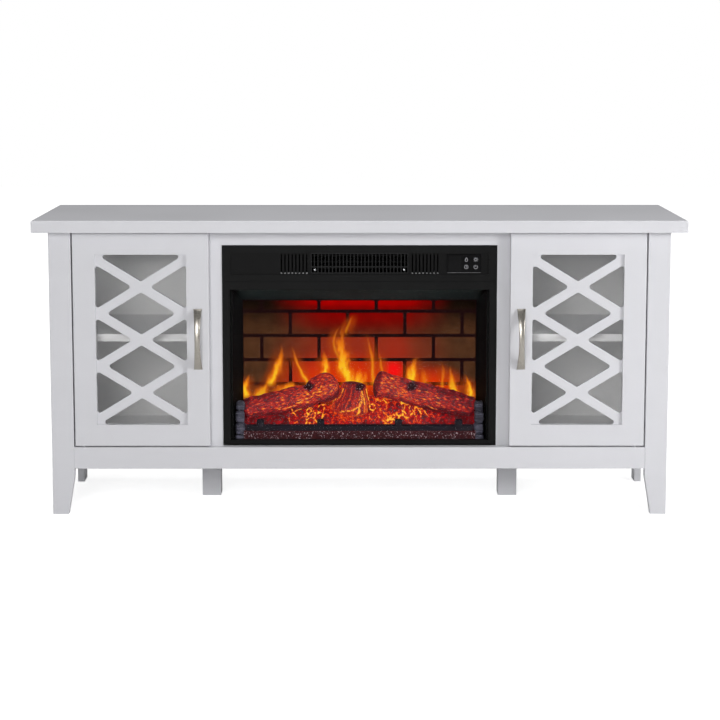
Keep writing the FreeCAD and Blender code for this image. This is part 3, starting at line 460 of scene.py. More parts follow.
def brick_light(name, f):
    """The screen: moulded bricks, red lamp light from above, and flame light thrown on from behind."""
    material, g, shader = new_material(name)
    place = g.place()
    here = g.parts(place)
    x, z = here["X"], here["Z"]
    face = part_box("brick_screen")[0].y
    raised = g.span(here["Y"], face + 0.0009, face + 0.0003)
    course = g.math("DIVIDE", g.minus(COURSE_TOP, z), COURSE_RISE)
    row = g.math("FLOOR", course)
    offset = g.times(g.math("PINGPONG", row, 1.0), 0.5)
    along_row = g.math("DIVIDE", g.minus(x, BRICK_JOINT), BRICK_PITCH)
    across = g.math("FRACT", g.add(along_row, g.minus(0.5, offset)))
    down = g.math("FRACT", course)
    near_x = g.times(g.minus(0.5, g.math("ABSOLUTE", g.minus(across, 0.5))), BRICK_PITCH)
    near_z = g.times(g.minus(0.5, g.math("ABSOLUTE", g.minus(down, 0.5))), COURSE_RISE)
    nearest = g.math("MINIMUM", near_x, near_z)
    raised = g.times(raised, g.span(nearest, 0.0032, 0.0049))
    # Painted highlight: the glow is brightened near the edges of each brick
    rim_highlight = g.span(nearest, 0.0036, 0.0085, 1.0, 0.0)
    soot = g.noise(place, 38.0, 5.0, 0.6)
    tone_shift = g.noise(place, 7.0, 2.0)
    side = g.math("ABSOLUTE", g.minus(x, 0.004))
    red_reach = g.times(g.span(side, 0.070, 0.210, 1.0, 0.0), g.span(z, 0.352, 0.415))
    red_level = g.add(g.span(z, 0.360, 0.420, 0.22, 0.43), g.span(z, 0.436, 0.453, 0.0, 0.42))
    warm = g.times(oval(g, x, z, *WARM_PATCH), g.span(z, 0.388, 0.366))
    spot = oval(g, x, z, *RED_SPOT)
    veil = g.times(oval(g, x, z, *RED_VEIL), 0.09)
    hearth = g.math("MAXIMUM", oval(g, x, z, *LEFT_HEARTH), oval(g, x, z, *RIGHT_HEARTH))
    mottle = g.span(g.add(soot, g.times(tone_shift, 0.5)), 0.45, 1.05, 0.6, 1.35)
    # Painted light and shade: the bricks glow in their own colour, darkened towards the top by painted shade
    brown = g.shade(rgba(f.brick), g.times(mottle, g.span(z, 0.456, 0.365, 0.05, 1.0)))
    red = g.shade(rgba(f.red_glow), g.times(red_level, g.span(soot, 0.3, 0.7, 0.8, 1.1)))
    lit = g.mix(red_reach, brown, red)
    lit = g.mix(g.times(warm, 0.9), lit, WARM_LIGHT)
    lit = g.mix(g.times(hearth, 0.95), lit, HEARTH_LIGHT)
    lit = g.mix(g.math("MAXIMUM", g.times(spot, 0.95), veil), lit, SPOT_LIGHT)
    lit = g.mix(g.times(rim_highlight, 0.35), lit, g.shade(lit, 1.7))
    wall = g.mix(raised, rgba(f.mortar), lit)
    body = core = halo = 0.0
    for bx, bz, tx, tz, bend, width, level in FLAMES:
        ends = {"Base": (bx, 0.0, bz), "Tip": (tx, 0.0, tz)}
        made = effect(g, "flame tongue", Place=place, **ends, Bend=bend, Width=width, Level=level)
        body = g.math("MAXIMUM", body, made["Body"])
        core = g.math("MAXIMUM", core, made["Core"])
        halo = g.math("MAXIMUM", halo, made["Halo"])
    wall = g.mix(g.times(halo, 0.45), wall, HALO_LIGHT)
    flame = g.mix(core, FLAME_BODY, FLAME_CORE)
    shown = g.mix(g.math("MULTIPLY", body, 0.96, clamp=True), wall, flame)
    cover(
        g, shader, soot, 0.3, 0.0006, Base_Color=g.shade(brown, 0.12),
        Roughness=g.span(soot, 0.3, 0.7, 0.55, 0.8), Emission_Color=shown, Emission_Strength=1.0,
        Specular_IOR_Level=0.0,
    )
    return material


# Burnt resin, the grit in it, and a painted highlight in pale grey on its ridges
CHAR_BLACK = (0.007, 0.004, 0.006, 1.0)
CHAR_GRIT = (0.62, 0.50, 0.54, 1.0)
RIDGE_HIGHLIGHT = (0.070, 0.038, 0.044, 1.0)
STONE_FLECK = (0.26, 0.25, 0.27, 1.0)
COPPER_TRACK = (0.05, 0.26, 0.10, 1.0)
# Share of heat, then the colour of the light at it
LOG_HEAT = (
    (0.0, (0.006, 0.0006, 0.001)),
    (0.28, (0.065, 0.0030, 0.0060)),
    (0.50, (0.33, 0.013, 0.014)),
    (0.70, (0.70, 0.054, 0.010)),
    (1.0, (1.0, 0.50, 0.035)),
)
EMBER_HEAT = (
    (0.0, (0.006, 0.0003, 0.0006)),
    (0.28, (0.070, 0.0015, 0.0030)),
    (0.54, (0.44, 0.004, 0.007)),
    (0.74, (0.82, 0.090, 0.007)),
    (1.0, (1.0, 0.56, 0.040)),
)


def glowing(name, colour, heat_scale, fibres, rotation=(0.0, 0.0, 0.0), reach=0.4):
    """Lit resin: the piece's own glow, bright veins along its fibres and grey scorched patches."""
    material, g, shader = new_material(name)
    place = g.turned(g.place(), (1.0, 1.0, 1.0), rotation)
    made = effect(g, "ember veins", Place=place, Fibres=fibres, Reach=reach)
    glow = g.attribute("glow")
    char = g.attribute("char")
    grain = g.noise(place, 620.0, 2.0)
    heat = g.add(g.times(glow, g.span(made["Height"], 0.36, 0.64, 0.42, 1.28)), g.times(made["Vein"], glow))
    heat = g.math("MULTIPLY", heat, g.minus(1.0, g.times(char, 0.92)), clamp=True)
    granule = g.noise(place, 320.0, 1.0)
    burnt = g.mix(g.span(granule, 0.63, 0.70), CHAR_BLACK, CHAR_GRIT)
    resin = g.shade(rgba(colour), g.span(grain, 0.25, 0.75, 0.55, 1.5))
    # Painted highlight: pale grey mixed into the resin on its ridges
    ridge_highlight = g.mix(g.span(made["Height"], 0.47, 0.38), resin, RIDGE_HIGHLIGHT)
    height = g.add(made["Height"], g.times(grain, 0.3))
    cover(
        g, shader, height, 0.6, 0.0014, Base_Color=g.mix(char, ridge_highlight, burnt), Specular_IOR_Level=0.12,
        Roughness=g.span(grain, 0.2, 0.8, 0.5, 0.8), Emission_Color=g.ramp(heat, heat_scale),
        Emission_Strength=1.0,
    )
    return material


def ash_stone(name, f):
    """Grey stone in thin layers, darker towards the top of the stack."""
    material, g, shader = new_material(name)
    place = g.place()
    band = g.noise(g.turned(place, (24.0, 24.0, 300.0)), 1.0, 5.0, 0.65, 0.6)
    fleck = g.noise(place, 300.0, 3.0, 0.6)
    # Darker towards the top of the stack
    darker_upward = g.span(g.parts(place)["Z"], 0.165, 0.235, 1.05, 0.5)
    light = g.shade(rgba(f.stone), g.times(darker_upward, g.span(band, 0.3, 0.72, 0.2, 2.3)))
    speckled = g.mix(g.span(fleck, 0.62, 0.8), light, STONE_FLECK)
    cover(
        g, shader, g.add(band, g.times(fleck, 0.4)), 0.8, 0.0016, Base_Color=speckled,
        Roughness=g.span(fleck, 0.2, 0.8, 0.6, 0.9), Specular_IOR_Level=0.3,
    )
    return material


def chamber_coat(name, f):
    """Black lining of the fire chamber, greyer on the hood that slopes down to the screen: partly a grey
    coat, partly painted light, lifted for the front light it catches and tinted against the red glow that
    falls on it.
    """
    material, g, shader = new_material(name)
    place = g.place()
    here = g.parts(place)
    hood = g.times(g.span(here["Z"], 0.452, 0.462), g.span(g.math("ABSOLUTE", here["X"]), 0.272, 0.250))
    colour = g.mix(hood, rgba(f.soot), rgba(f.hood))
    made = effect(g, "textured coat", Place=place, Colour=colour, Grain=700.0, Gloss=0.8)
    cover(
        g, shader, made["Height"], 0.25, 0.0003, Base_Color=made["Colour"], Roughness=made["Roughness"],
        Specular_IOR_Level=0.03,
    )
    return material


def circuit_board(name, f):
    """Solder mask over paler copper tracks."""
    material, g, shader = new_material(name)
    place = g.place()
    track = g.span(g.cells(g.turned(place, (160.0, 160.0, 160.0)), 1.0), 0.03, 0.07, 1.0, 0.0)
    cloud = g.noise(place, 90.0, 3.0)
    mask = g.shade(rgba(f.circuit), g.span(cloud, 0.3, 0.7, 0.8, 1.2))
    colour = g.mix(g.times(track, 0.6), mask, COPPER_TRACK)
    cover(g, shader, track, 0.3, 0.0002, Base_Color=colour, Roughness=g.span(cloud, 0.3, 0.7, 0.25, 0.45))
    return material


# Panel colour, strength and depth of the bump, specular level, drift of tone
LACQUERS = {
    "white_lacquer": ("paint", 0.12, 0.0003, 0.5, 0.05),
    "inner_white": ("inner_white", 0.1, 0.0003, 0.3, 0.05),
    "white_hardboard": ("hardboard", 0.3, 0.0004, 0.3, 0.12),
}
# Panel colour, strength and depth of the bump, specular level, pebbles in a metre, roughness
COATS = {
    "white_plastic": ("paint", 0.1, 0.0002, 0.5, 900.0, 0.5),
    "black_powder_coat": ("black_steel", 0.25, 0.0003, 0.12, 1500.0, 0.52),
    "black_header_plastic": ("black_plastic", 0.25, 0.0003, 0.11, 1900.0, 0.46),
    "grille_plastic": ("grille", 0.25, 0.0003, 0.2, 1900.0, 0.46),
    "grate_paint": ("grate", 0.5, 0.0006, 0.12, 420.0, 0.55),
    "gloss_black": ("gloss_black", 0.02, 0.0001, 0.13, 260.0, 0.14),
    "smoked_lens": ("lens", 0.02, 0.0001, 0.2, 180.0, 0.16),
    "key_symbol": ("symbol", 0.05, 0.0001, 0.5, 2400.0, 0.5),
}
# Panel colour, strength of the bump, share of metal, lines in a metre each way, roughness
METALS = {
    "satin_nickel": ("nickel", 0.08, 1.0, (900.0, 900.0, 24.0), 0.3),
    "zinc_plate": ("zinc", 0.1, 1.0, (40.0, 700.0, 700.0), 0.36),
    "bright_aluminium": ("aluminium", 0.1, 1.0, (60.0, 600.0, 600.0), 0.25),
    # Painted glint on the lips under the slots and the fascia
    "glint_edge": ("glint_grey", 0.1, 0.3, (300.0, 300.0, 300.0), 0.32),
}
METAL_BUMP = 0.0002
# Tint and refraction of each glass
PANES = {
    "door_glass": ((0.985, 0.984, 0.98), 1.45),
    "fire_glass": ((0.985, 0.985, 0.985), 1.06),
}
OTHER_FINISHES = {
    "soot_black": chamber_coat,
    "lit_brick_screen": brick_light,
    "ash_stone": ash_stone,
    "circuit_board": circuit_board,
}


def finish(key):
    """The finish of that name, made from the panel's colours on its first use."""
    name = "mantel_" + key
    made = bpy.data.materials.get(name)
    if made:
        return made
    colours = bpy.context.scene.mantel_finishes
    if key in LACQUERS:
        colour, strength, depth, specular, drift = LACQUERS[key]
        tint = getattr(colours, colour)
        return dressed(name, "lacquer film", tint, strength, depth, specular=specular, Drift=drift)
    if key in COATS:
        colour, strength, depth, specular, grain, gloss = COATS[key]
        tint = getattr(colours, colour)
        pebbles = {"Grain": grain, "Gloss": gloss}
        return dressed(name, "textured coat", tint, strength, depth, specular=specular, **pebbles)
    if key in METALS:
        colour, strength, metal, lines, gloss = METALS[key]
        tint = getattr(colours, colour)
        return dressed(name, "brushed lines", tint, strength, METAL_BUMP, metal, Lines=lines, Gloss=gloss)
    if key in PANES:
        return pane(name, *PANES[key])
    return OTHER_FINISHES[key](name, colours)


def coat(key, *nodes):
    """Gives carried-over solids a finish."""
    material = finish(key)
    for name in nodes:
        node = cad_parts[name]
        if node.material_slots:
            node.material_slots[0].material = material
        else:
            node.data.materials.append(material)


def both(*names):
    """The left and the right node of each name."""
    return [side + name for name in names for side in ("left_", "right_")]


# Mesh helpers
def new_mesh(name, points, faces, sharp=None):
    """A mesh with smooth faces, creased past the sharp angle, or with flat ones where none is given."""
    mesh = bpy.data.meshes.new(name)
    mesh.from_pydata([tuple(p) for p in points], [], faces)
    mesh.validate()
    if sharp is not None:
        mesh.shade_smooth()
        mesh.set_sharp_from_angle(angle=math.radians(sharp))
    return mesh


def new_object(name, data):
    made = bpy.data.objects.new(name, data)
    bpy.context.scene.collection.objects.link(made)
    return made


def new_piece(name, points, faces, material, body, sharp=40.0):
    """A finished piece at the origin, riding on its body."""
    mesh = new_mesh(name, points, faces, sharp)
    mesh.materials.append(material)
    piece = new_object(name, mesh)
    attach(piece, body)
    return piece


def loft(rings, cap=True, first=0):
    """Faces between closed rings of points, and flat caps on the two ends."""
    count = len(rings[0])
    faces = []
    for r in range(len(rings) - 1):
        for i in range(count):
            j = (i + 1) % count
            a, b = first + r * count, first + (r + 1) * count
            faces.append((a + i, a + j, b + j, b + i))
    if cap:
        last = first + (len(rings) - 1) * count
        faces.append(tuple(reversed(range(first, first + count))))
        faces.append(tuple(range(last, last + count)))
    return [p for ring in rings for p in ring], faces


def smooth_step(low, high, value):
    t = min(max((value - low) / (high - low), 0.0), 1.0)
    return t * t * (3.0 - 2.0 * t)


def curve_point(points, t):
    """A point on a smooth curve through the given rows of numbers, t from 0 to 1."""
    spans = len(points) - 1
    k = min(int(t * spans), spans - 1)
    u = t * spans - k
    rows = [points[min(max(k + d, 0), spans)] for d in (-1, 0, 1, 2)]
    found = []
    for a, b, c, d in zip(*rows):
        square = 2 * a - 5 * b + 4 * c - d
        cube = 3 * b - a - 3 * c + d
        found.append(0.5 * (2 * b + (c - a) * u + square * u * u + cube * u ** 3))
    return found


# The bow handle: half width at its waist, length of a foot, thickness in the middle, and least
# height and thickness at its tips
HANDLE_WAIST = 0.0055
HANDLE_FOOT = 0.015
HANDLE_THICKNESS = 0.0075
HANDLE_TIP = 0.0004
HANDLE_SKIN = 0.0003


def bow_height(half, rise, z):
    """Height over its chord of an arc that spans 2 half and rises by rise."""
    radius = (half * half + rise * rise) / (2 * rise)
    inside = max(radius * radius - z * z, 0.0)
    return max(math.sqrt(inside) - (radius - rise), 0.0)


def handle_rings(node, sizes):
    """Rounded sections of a bow handle from its upper end to its lower end."""
    low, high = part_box(node)
    x = (low.x + high.x) / 2
    middle = (low.z + high.z) / 2
    half = (high.z - low.z) / 2
    door = high.y
    reach = high.y - low.y
    end = (high.x - low.x) / 2
    gap_half = half - HANDLE_FOOT
    draw_in = end - HANDLE_WAIST
    rings = []
    steps = 64
    for s in range(steps + 1):
        z = half * math.cos(math.pi * s / steps)
        outer = max(bow_height(half, reach, z), HANDLE_TIP)
        inner = bow_height(gap_half, reach - HANDLE_THICKNESS, z) if abs(z) < gap_half else 0.0
        inner = min(inner, outer - HANDLE_SKIN)
        wide = end - draw_in * bow_height(half, draw_in, z) / draw_in
        edge = min(sizes.handle_edge, (outer - inner) * 0.45, wide * 0.45)
        ring = []
        for cx, cy, start in ((1, 1, 0), (-1, 1, 1), (-1, -1, 2), (1, -1, 3)):
            for k in range(5):
                turn = math.pi / 2 * (start + k / 4)
                px = cx * (wide - edge) + edge * math.cos(turn)
                depth = outer - edge if cy > 0 else inner + edge
                py = depth + edge * math.sin(turn)
                if cy > 0:
                    share = min(1.0, (outer - inner) / HANDLE_THICKNESS)
                    py -= sizes.handle_crown * (px / wide) ** 2 * share
                turned_in = sizes.handle_end_bow * (px / wide) ** 2 * (abs(z) / half) ** 10
                ring.append(Vector((x + px, door - py, middle + z - math.copysign(turned_in, z))))
        rings.append(ring)
    return rings


def make_handles():
    sizes = bpy.context.scene.mantel_sizes
    for side in ("left", "right"):
        points, faces = loft(handle_rings(side + "_handle", sizes))
        name = side + "_bow_handle"
        bow = new_piece(name, points, faces, finish("satin_nickel"), side + "_door")
        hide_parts(side + "_handle")


# Log set and ember bed
LOG_RUNS = {
    # distance from the middle, distance in front of the screen, height over the grate, radius
    "left_log": (
        (-0.246, 0.038, 0.0385, 0.0260),
        (-0.200, 0.037, 0.0495, 0.0275),
        (-0.154, 0.035, 0.0605, 0.0260),
        (-0.113, 0.036, 0.0690, 0.0230),
        (-0.091, 0.041, 0.0820, 0.0270),
        (-0.073, 0.045, 0.0875, 0.0300),
    ),
    "right_log": (
        (0.042, 0.042, 0.0965, 0.0285),
        (0.094, 0.036, 0.0815, 0.0255),
        (0.142, 0.035, 0.0675, 0.0250),
        (0.194, 0.037, 0.0555, 0.0255),
        (0.246, 0.039, 0.0435, 0.0230),
    ),
    "centre_log": (
        (-0.013, 0.028, 0.091, 0.024),
        (-0.015, 0.032, 0.074, 0.032),
        (-0.017, 0.036, 0.056, 0.040),
        (-0.019, 0.039, 0.038, 0.043),
    ),
}
# Scorched spots on the logs: across, up and radius
CHARS = ((-0.112, 0.270, 0.017), (0.001, 0.268, 0.014), (0.115, 0.270, 0.017))
CRACKS = (
    # level, then points in millimetres across and up, as they show from the front
    (0.9, (-35, 265, -41, 251, -44, 244)),
    (0.8, (-49, 243, -59, 236, -73, 228, -86, 229, -94, 220)),
    (0.8, (-82, 227, -77, 226, -80, 212, -84, 196)),
    (0.7, (1, 249, -1, 226)),
    (1.0, (5, 258, 9, 243, 12, 228)),
    (1.0, (15, 263, 19, 245, 23, 226)),
    (0.8, (25, 265, 28, 247, 32, 232)),
    (1.0, (-41, 212, -29, 214, -16, 215, -4, 222)),
    (0.7, (41, 239, 57, 241, 71, 239, 75, 232)),
    (0.9, (100, 230, 110, 226, 118, 216, 122, 206)),
    (0.9, (100, 226, 97, 214, 104, 206, 109, 188)),
    (0.7, (126, 204, 120, 194, 118, 186)),
    (0.9, (136, 220, 144, 214, 151, 202)),
    (0.8, (149, 227, 160, 221, 172, 217)),
    (0.8, (-178, 218, -165, 218, -152, 224, -139, 227)),
    (0.9, (-150, 219, -146, 211, -138, 202)),
    (0.9, (-155, 191, -155, 209, -146, 210, -139, 216, -128, 218)),
    (0.7, (56, 217, 61, 209)),
)
RINGS = (
    # level, middle across and up, radius, in millimetres
    (1.0, -109, 213, 7.5),
    (1.0, 28.6, 222.8, 6.5),
    (0.7, 30.6, 203, 9),
    (0.65, -10.7, 195, 9),
    (0.6, 93, 205, 9),
    (0.5, -37, 197, 9),
    (0.5, 71, 213, 9),
)
# How far a crack's light reaches in millimetres: full up to the first, none past the second
CRACK_REACH = (0.7, 2.4)
LOG_PLANE = -0.100
# Bulge of a log's flat end and of a round one, as a share of the radius there
FLAT_END = 0.34
ROUND_END = 0.95


def front_view(point):
    """Where a point shows, in millimetres across and up, on an upright plane through the log set."""
    eye = Vector(CAMERA_PLACE)
    shown = eye + (point - eye) * ((LOG_PLANE - eye.y) / (point.y - eye.y))
    return shown.x * 1000.0, shown.z * 1000.0


def within(value, a, b, margin):
    """Whether a value lies between two others, or no further out than the margin."""
    return min(a, b) - margin < value < max(a, b) + margin


def crack_light(point):
    """Light of the drawn cracks and glowing rings at a point, 0 to 1."""
    x, z = front_view(point)
    edge = CRACK_REACH[1]
    most = 0.0
    for level, line in CRACKS:
        for i in range(0, len(line) - 2, 2):
            ax, az, bx, bz = line[i:i + 4]
            if not (within(x, ax, bx, edge) and within(z, az, bz, edge)):
                continue
            run_x, run_z = bx - ax, bz - az
            t = ((x - ax) * run_x + (z - az) * run_z) / (run_x * run_x + run_z * run_z)
            t = min(max(t, 0.0), 1.0)
            far = math.hypot(x - ax - t * run_x, z - az - t * run_z)
            most = max(most, level * (1.0 - smooth_step(*CRACK_REACH, far)))
    for level, mx, mz, radius in RINGS:
        far = abs(math.hypot(x - mx, z - mz) - radius)
        most = max(most, level * (1.0 - smooth_step(*CRACK_REACH, far)))
    return most


def bark(around, along, seed, depth):
    """Height of the bark here, from furrows, plates and knots, and how far a crack between plates is."""
    spot = Vector((math.cos(around) * 2.2, math.sin(around) * 2.2, along * 16.0 + seed))
    furrow = noise.fractal(Vector((spot.x * 2.4, spot.y * 2.4, spot.z * 0.9)), 0.9, 2.0, 4)
    plate = abs(noise.noise(Vector((spot.x * 3.6, spot.y * 3.6, spot.z * 1.7))))
    knot = noise.noise(Vector((spot.x * 0.8, spot.y * 0.8, spot.z * 0.7)))
    return depth * (0.55 * furrow + 0.9 * (plate - 0.3) + 0.6 * knot), plate


def charred(point):
    """How far a point is burnt black, from the scorched spots on top of the logs."""
    most = 0.0
    for x, z, radius in CHARS:
        far = math.hypot(point.x - x, (point.z - z) * 1.25) / radius
        far += 0.25 * noise.noise(point * 160.0)
        most = max(most, 1.0 - smooth_step(0.35, 0.95, far))
    return most


def log_glow(point, plate):
    """Light that comes through the moulding: most low down and near the middle of the fire."""
    low = 1.0 - smooth_step(0.205, 0.285, point.z)
    shaded = 1.0 - smooth_step(0.02, 0.06, abs(point.x + 0.015))
    middle = 1.0 - smooth_step(0.08, 0.25, abs(point.x)) - 0.2 * shaded
    grain = 0.06 * noise.fractal(point * 75.0, 1.0, 2.0, 3)
    return min(1.0, 0.32 + 0.10 * low + 0.25 * middle + grain + 0.58 * (plate - 0.23))


def lit_piece(name, rings, glow, char, material, sharp, node):
    """A closed moulding with its own light and scorch marks, in place of a solid."""
    points, faces = loft(rings)
    piece = new_piece(name, points, faces, material, "cabinet", sharp)
    for label, values in (("glow", glow), ("char", char)):
        layer = piece.data.attributes.new(label, "FLOAT", "POINT")
        layer.data.foreach_set("value", values)
    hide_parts(node)


def make_log(node, seed, nose):
    """One log along its run, with bark. Its last end is rounded by nose, as a share of the radius there."""
    sizes = bpy.context.scene.mantel_sizes
    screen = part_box("brick_screen")[0].y + BRICK_RELIEF
    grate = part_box("grate")[0].z
    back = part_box("ember_bed")[1].y
    run = [(x, screen - setback, grate + rise, radius) for x, setback, rise, radius in LOG_RUNS[node]]
    stations, around = 130, 104
    rings, glow, char = [], [], []
    cap = 9
    for s in range(-cap, stations + cap + 1):
        t = min(max(s / stations, 0.0), 1.0)
        x, y, z, radius = curve_point(run, t)
        after, before = curve_point(run, min(t + 0.01, 1.0)), curve_point(run, max(t - 0.01, 0.0))
        ahead = (Vector(after[:3]) - Vector(before[:3])).normalized()
        side = ahead.cross(Vector((0, 0, 1))).normalized()
        up = side.cross(ahead).normalized()
        beyond = max(-s, s - stations, 0) / cap * math.pi / 2
        swell = max(math.cos(beyond), 0.02)
        push = nose if s > stations else -FLAT_END
        centre = Vector((x, y, z)) + ahead * (push * radius * math.sin(beyond))
        ring = []
        for n in range(around):
            turn = -2 * math.pi * n / around
            k = t * (len(run) - 1)
            lump = 1 + 0.07 * math.sin(2 * turn + seed + k) + 0.05 * math.sin(3 * turn + 2 * seed - k)
            rise, plate = bark(turn, x * 3.4, seed * 9.0, sizes.bark_depth)
            r = radius * lump * swell + rise * min(1.0, swell * 1.6)
            point = centre + side * (r * math.cos(turn)) + up * (r * math.sin(turn))
            point.y = min(point.y, back)
            ring.append(point)
            upward = math.sin(turn)
            # Painted shade: the glow is dimmed on the underside, a little on top, and more on the first end
            shade = 1.0 - 0.5 * smooth_step(0.15, 0.95, -upward) - 0.2 * smooth_step(0.5, 1.0, upward)
            if s < 0:
                shade -= 0.35
            glow.append(max(log_glow(point, plate) * shade, crack_light(point)))
            char.append(charred(point))
        rings.append(ring)
    lean = math.atan2(run[-1][2] - run[0][2], run[-1][0] - run[0][0])
    tint = bpy.context.scene.mantel_finishes.bark
    material = glowing(node + "_resin", tint, LOG_HEAT, (110.0, 360.0, 360.0), (0.0, lean, 0.0))
    lit_piece(node + "_bark", rings, glow, char, material, 180.0, node)


# The ledge in front of the embers, and half the width of the bed between its end stones
LEDGE_TOP = 0.1775
LEDGE_DEPTH = 0.011
BED_HALF = 0.2535


def ember_height(x, y, front, back):
    """The bed's slope behind the grate, as the solid has it."""
    swell = 0.005 * math.sin(x / 0.041) + 0.003 * math.sin(x / 0.017 + 1.0)
    swell += 0.016 * max(0.0, 1.0 - ((x - 0.045) / 0.140) ** 2)
    ledge = front + LEDGE_DEPTH
    knots = (
        (front, LEDGE_TOP),
        (ledge, LEDGE_TOP),
        (ledge + 0.010, 0.1865 + 0.3 * swell),
        (ledge + 0.032, 0.205 + 0.6 * swell),
        (ledge + 0.056, 0.221 + swell),
        (back, 0.214 + 0.8 * swell),
    )
    for (ya, za), (yb, zb) in zip(knots, knots[1:]):
        if y <= yb:
            t = (y - ya) / (yb - ya)
            return za + (zb - za) * t
    return knots[-1][1]


def coal(x, y, size):
    """Coals packed on the bed: height share of the coal here, and how near a gap between coals is."""
    spot = Vector((x / size * 0.45, y / size * 0.45, 1.3))
    sway = Vector((noise.noise(spot), noise.noise(spot + Vector((0.0, 0.0, 5.1))), 0.0)) * 0.55
    distances, _ = noise.voronoi(Vector((x / size, y / size * 0.8, 3.7)) + sway)
    dome = max(0.0, 1.0 - (distances[0] / 0.62) ** 2)
    gap = 1.0 - smooth_step(0.02, 0.20, distances[1] - distances[0])
    return dome, gap


def make_ember_bed():
    """A rough front face with ash on it, and coals on the slope behind the ledge."""
    sizes = bpy.context.scene.mantel_sizes
    low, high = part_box("ember_bed")
    front, back, floor = low.y, high.y, low.z
    across, deep, face = 300, 84, 12
    rings, glow, char = [], [], []
    for c in range(across + 1):
        x = BED_HALF * (1 - 2 * c / across)
        ring = [Vector((x, back, floor)), Vector((x, front, floor))]
        glow += [0.0, 0.06]
        char += [1.0, 0.25]
        for r in range(1, face):
            z = floor + (LEDGE_TOP - floor) * r / face
            rough = noise.fractal(Vector((x * 240.0, 3.0, z * 240.0)), 0.8, 2.0, 3)
            ring.append(Vector((x, front + 0.0012 - 0.0010 * rough, z)))
            glow.append(0.20 + 0.10 * rough)
            char.append(0.72 + 0.25 * smooth_step(0.0, 0.5, rough))
        for r in range(deep + 1):
            y = front + (back - front) * r / deep
            open_bed = smooth_step(front + 0.010, front + 0.022, y)
            dome, gap = coal(x, y, sizes.coal_size)
            lump = noise.fractal(Vector((x * 210.0, y * 210.0, 1.0)), 0.9, 2.0, 3)
            z = ember_height(x, y, front, back) + open_bed * (sizes.coal_rise * dome + 0.0012 * lump)
            point = Vector((x, y, z))
            ring.append(point)
            middle = 1.0 - smooth_step(0.05, 0.25, abs(x - 0.005))
            heart = noise.noise(Vector((x * 34.0, y * 34.0, 8.0)))
            web = 1.0 - smooth_step(0.02, 0.085, min(abs(x + 0.118), abs(x - 0.105)))
            vein = gap * smooth_step(-0.05, 0.40, heart + 0.35 * middle - 0.1)
            base = 0.33 + 0.22 * middle - 0.24 * dome * (0.3 + 0.7 * smooth_step(-0.2, 0.4, -heart))
            base = max(base + vein * (0.10 + 0.42 * web), crack_light(point))
            glow.append(min(1.0, base) * (0.25 + 0.75 * open_bed))
            char.append(0.0)
        rings.append(ring)
    tint = bpy.context.scene.mantel_finishes.ember
    material = glowing("ember_bed_resin", tint, EMBER_HEAT, (160.0, 160.0, 160.0), reach=0.18)
    lit_piece("ember_mound", rings, glow, char, material, 75.0, "ember_bed")


def squared(value):
    """Pushes a round section towards a square one."""
    return math.copysign(abs(value) ** 0.55, value)


STONES = (
    # distance from the middle, distance behind the bed's front, height of the centre, then three half sizes
    (0.2615, 0.0135, 0.159, (0.0105, 0.0120, 0.0100)),
    (0.2605, 0.0145, 0.181, (0.0110, 0.0125, 0.0125)),
    (0.2620, 0.0165, 0.206, (0.0100, 0.0120, 0.0130)),
    (0.2610, 0.0185, 0.230, (0.0095, 0.0110, 0.0105)),
)


def stone_rings(centre, halves, offset, sign):
    """Level rings of one blocky stone with blunt poles. Sign -1 mirrors it across the middle."""
    rows, around, pole = 18, 26, 0.12
    rings = []
    for r in range(rows + 1):
        lat = math.pi * (min(max(r, pole), rows - pole) / rows - 0.5)
        wide = squared(math.cos(lat))
        ring = []
        for n in range(around):
            lon = 2 * math.pi * n / around
            east, north = squared(math.cos(lon)), squared(math.sin(lon))
            way = Vector((wide * east, wide * north, squared(math.sin(lat))))
            scale = 1.0 + 0.15 * noise.fractal(way * 1.9 + offset, 0.8, 2.0, 5)
            point = centre + Vector([half * part * scale for half, part in zip(halves, way)])
            point.x *= sign
            ring.append(point)
        rings.append(ring if sign > 0 else list(reversed(ring)))
    return rings


def make_end_stones():
    points, faces = [], []
    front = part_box("ember_bed")[0].y
    for sign in (-1, 1):
        for k, (x, setback, z, halves) in enumerate(STONES):
            offset = Vector((k * 7.0, sign * 3.0, 0.0))
            rings = stone_rings(Vector((x, front + setback, z)), halves, offset, sign)
            more, sides = loft(rings, first=len(points))
            points += more
            faces += sides
    piece = new_piece("ash_stones", points, faces, finish("ash_stone"), "cabinet", 60.0)
    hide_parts("ember_bed")


# Symbols on the keys
def ribbon(line, width, y0, y1, closed, first):
    """A flat raised line along points in the XZ plane."""
    count = len(line)
    rings = []
    for i, point in enumerate(line):
        before = line[(i - 1) % count] if closed or i else line[0]
        after = line[(i + 1) % count] if closed or i < count - 1 else line[-1]
        run = (after - before).normalized()
        out = Vector((run.y, -run.x)) * width / 2
        a, b = point - out, point + out
        corners = ((a, y0), (b, y0), (b, y1), (a, y1))
        rings.append([Vector((corner.x, y, corner.y)) for corner, y in corners])
    if closed:
        rings.append(rings[0])
    points, faces = loft(rings, cap=not closed, first=first)
    if closed:
        points = points[:-4]
        faces = [tuple(first + (v - first) % (4 * count) for v in face) for face in faces]
    return points, faces


def arc(radius, start, end, steps):
    """Points on an arc between two angles in degrees."""
    turns = [math.radians(start + (end - start) * k / steps) for k in range(steps + 1)]
    return [Vector((radius * math.cos(a), radius * math.sin(a))) for a in turns]


def drop(scale):
    """Outline of a small flame."""
    right = ((0, 1.0), (0.42, 0.45), (0.66, -0.05), (0.58, -0.6), (0.2, -0.95))
    left = ((-0.25, -0.95), (-0.6, -0.55), (-0.58, -0.05), (-0.34, 0.22), (-0.2, 0.5))
    return [Vector(point) * scale for point in right + left]


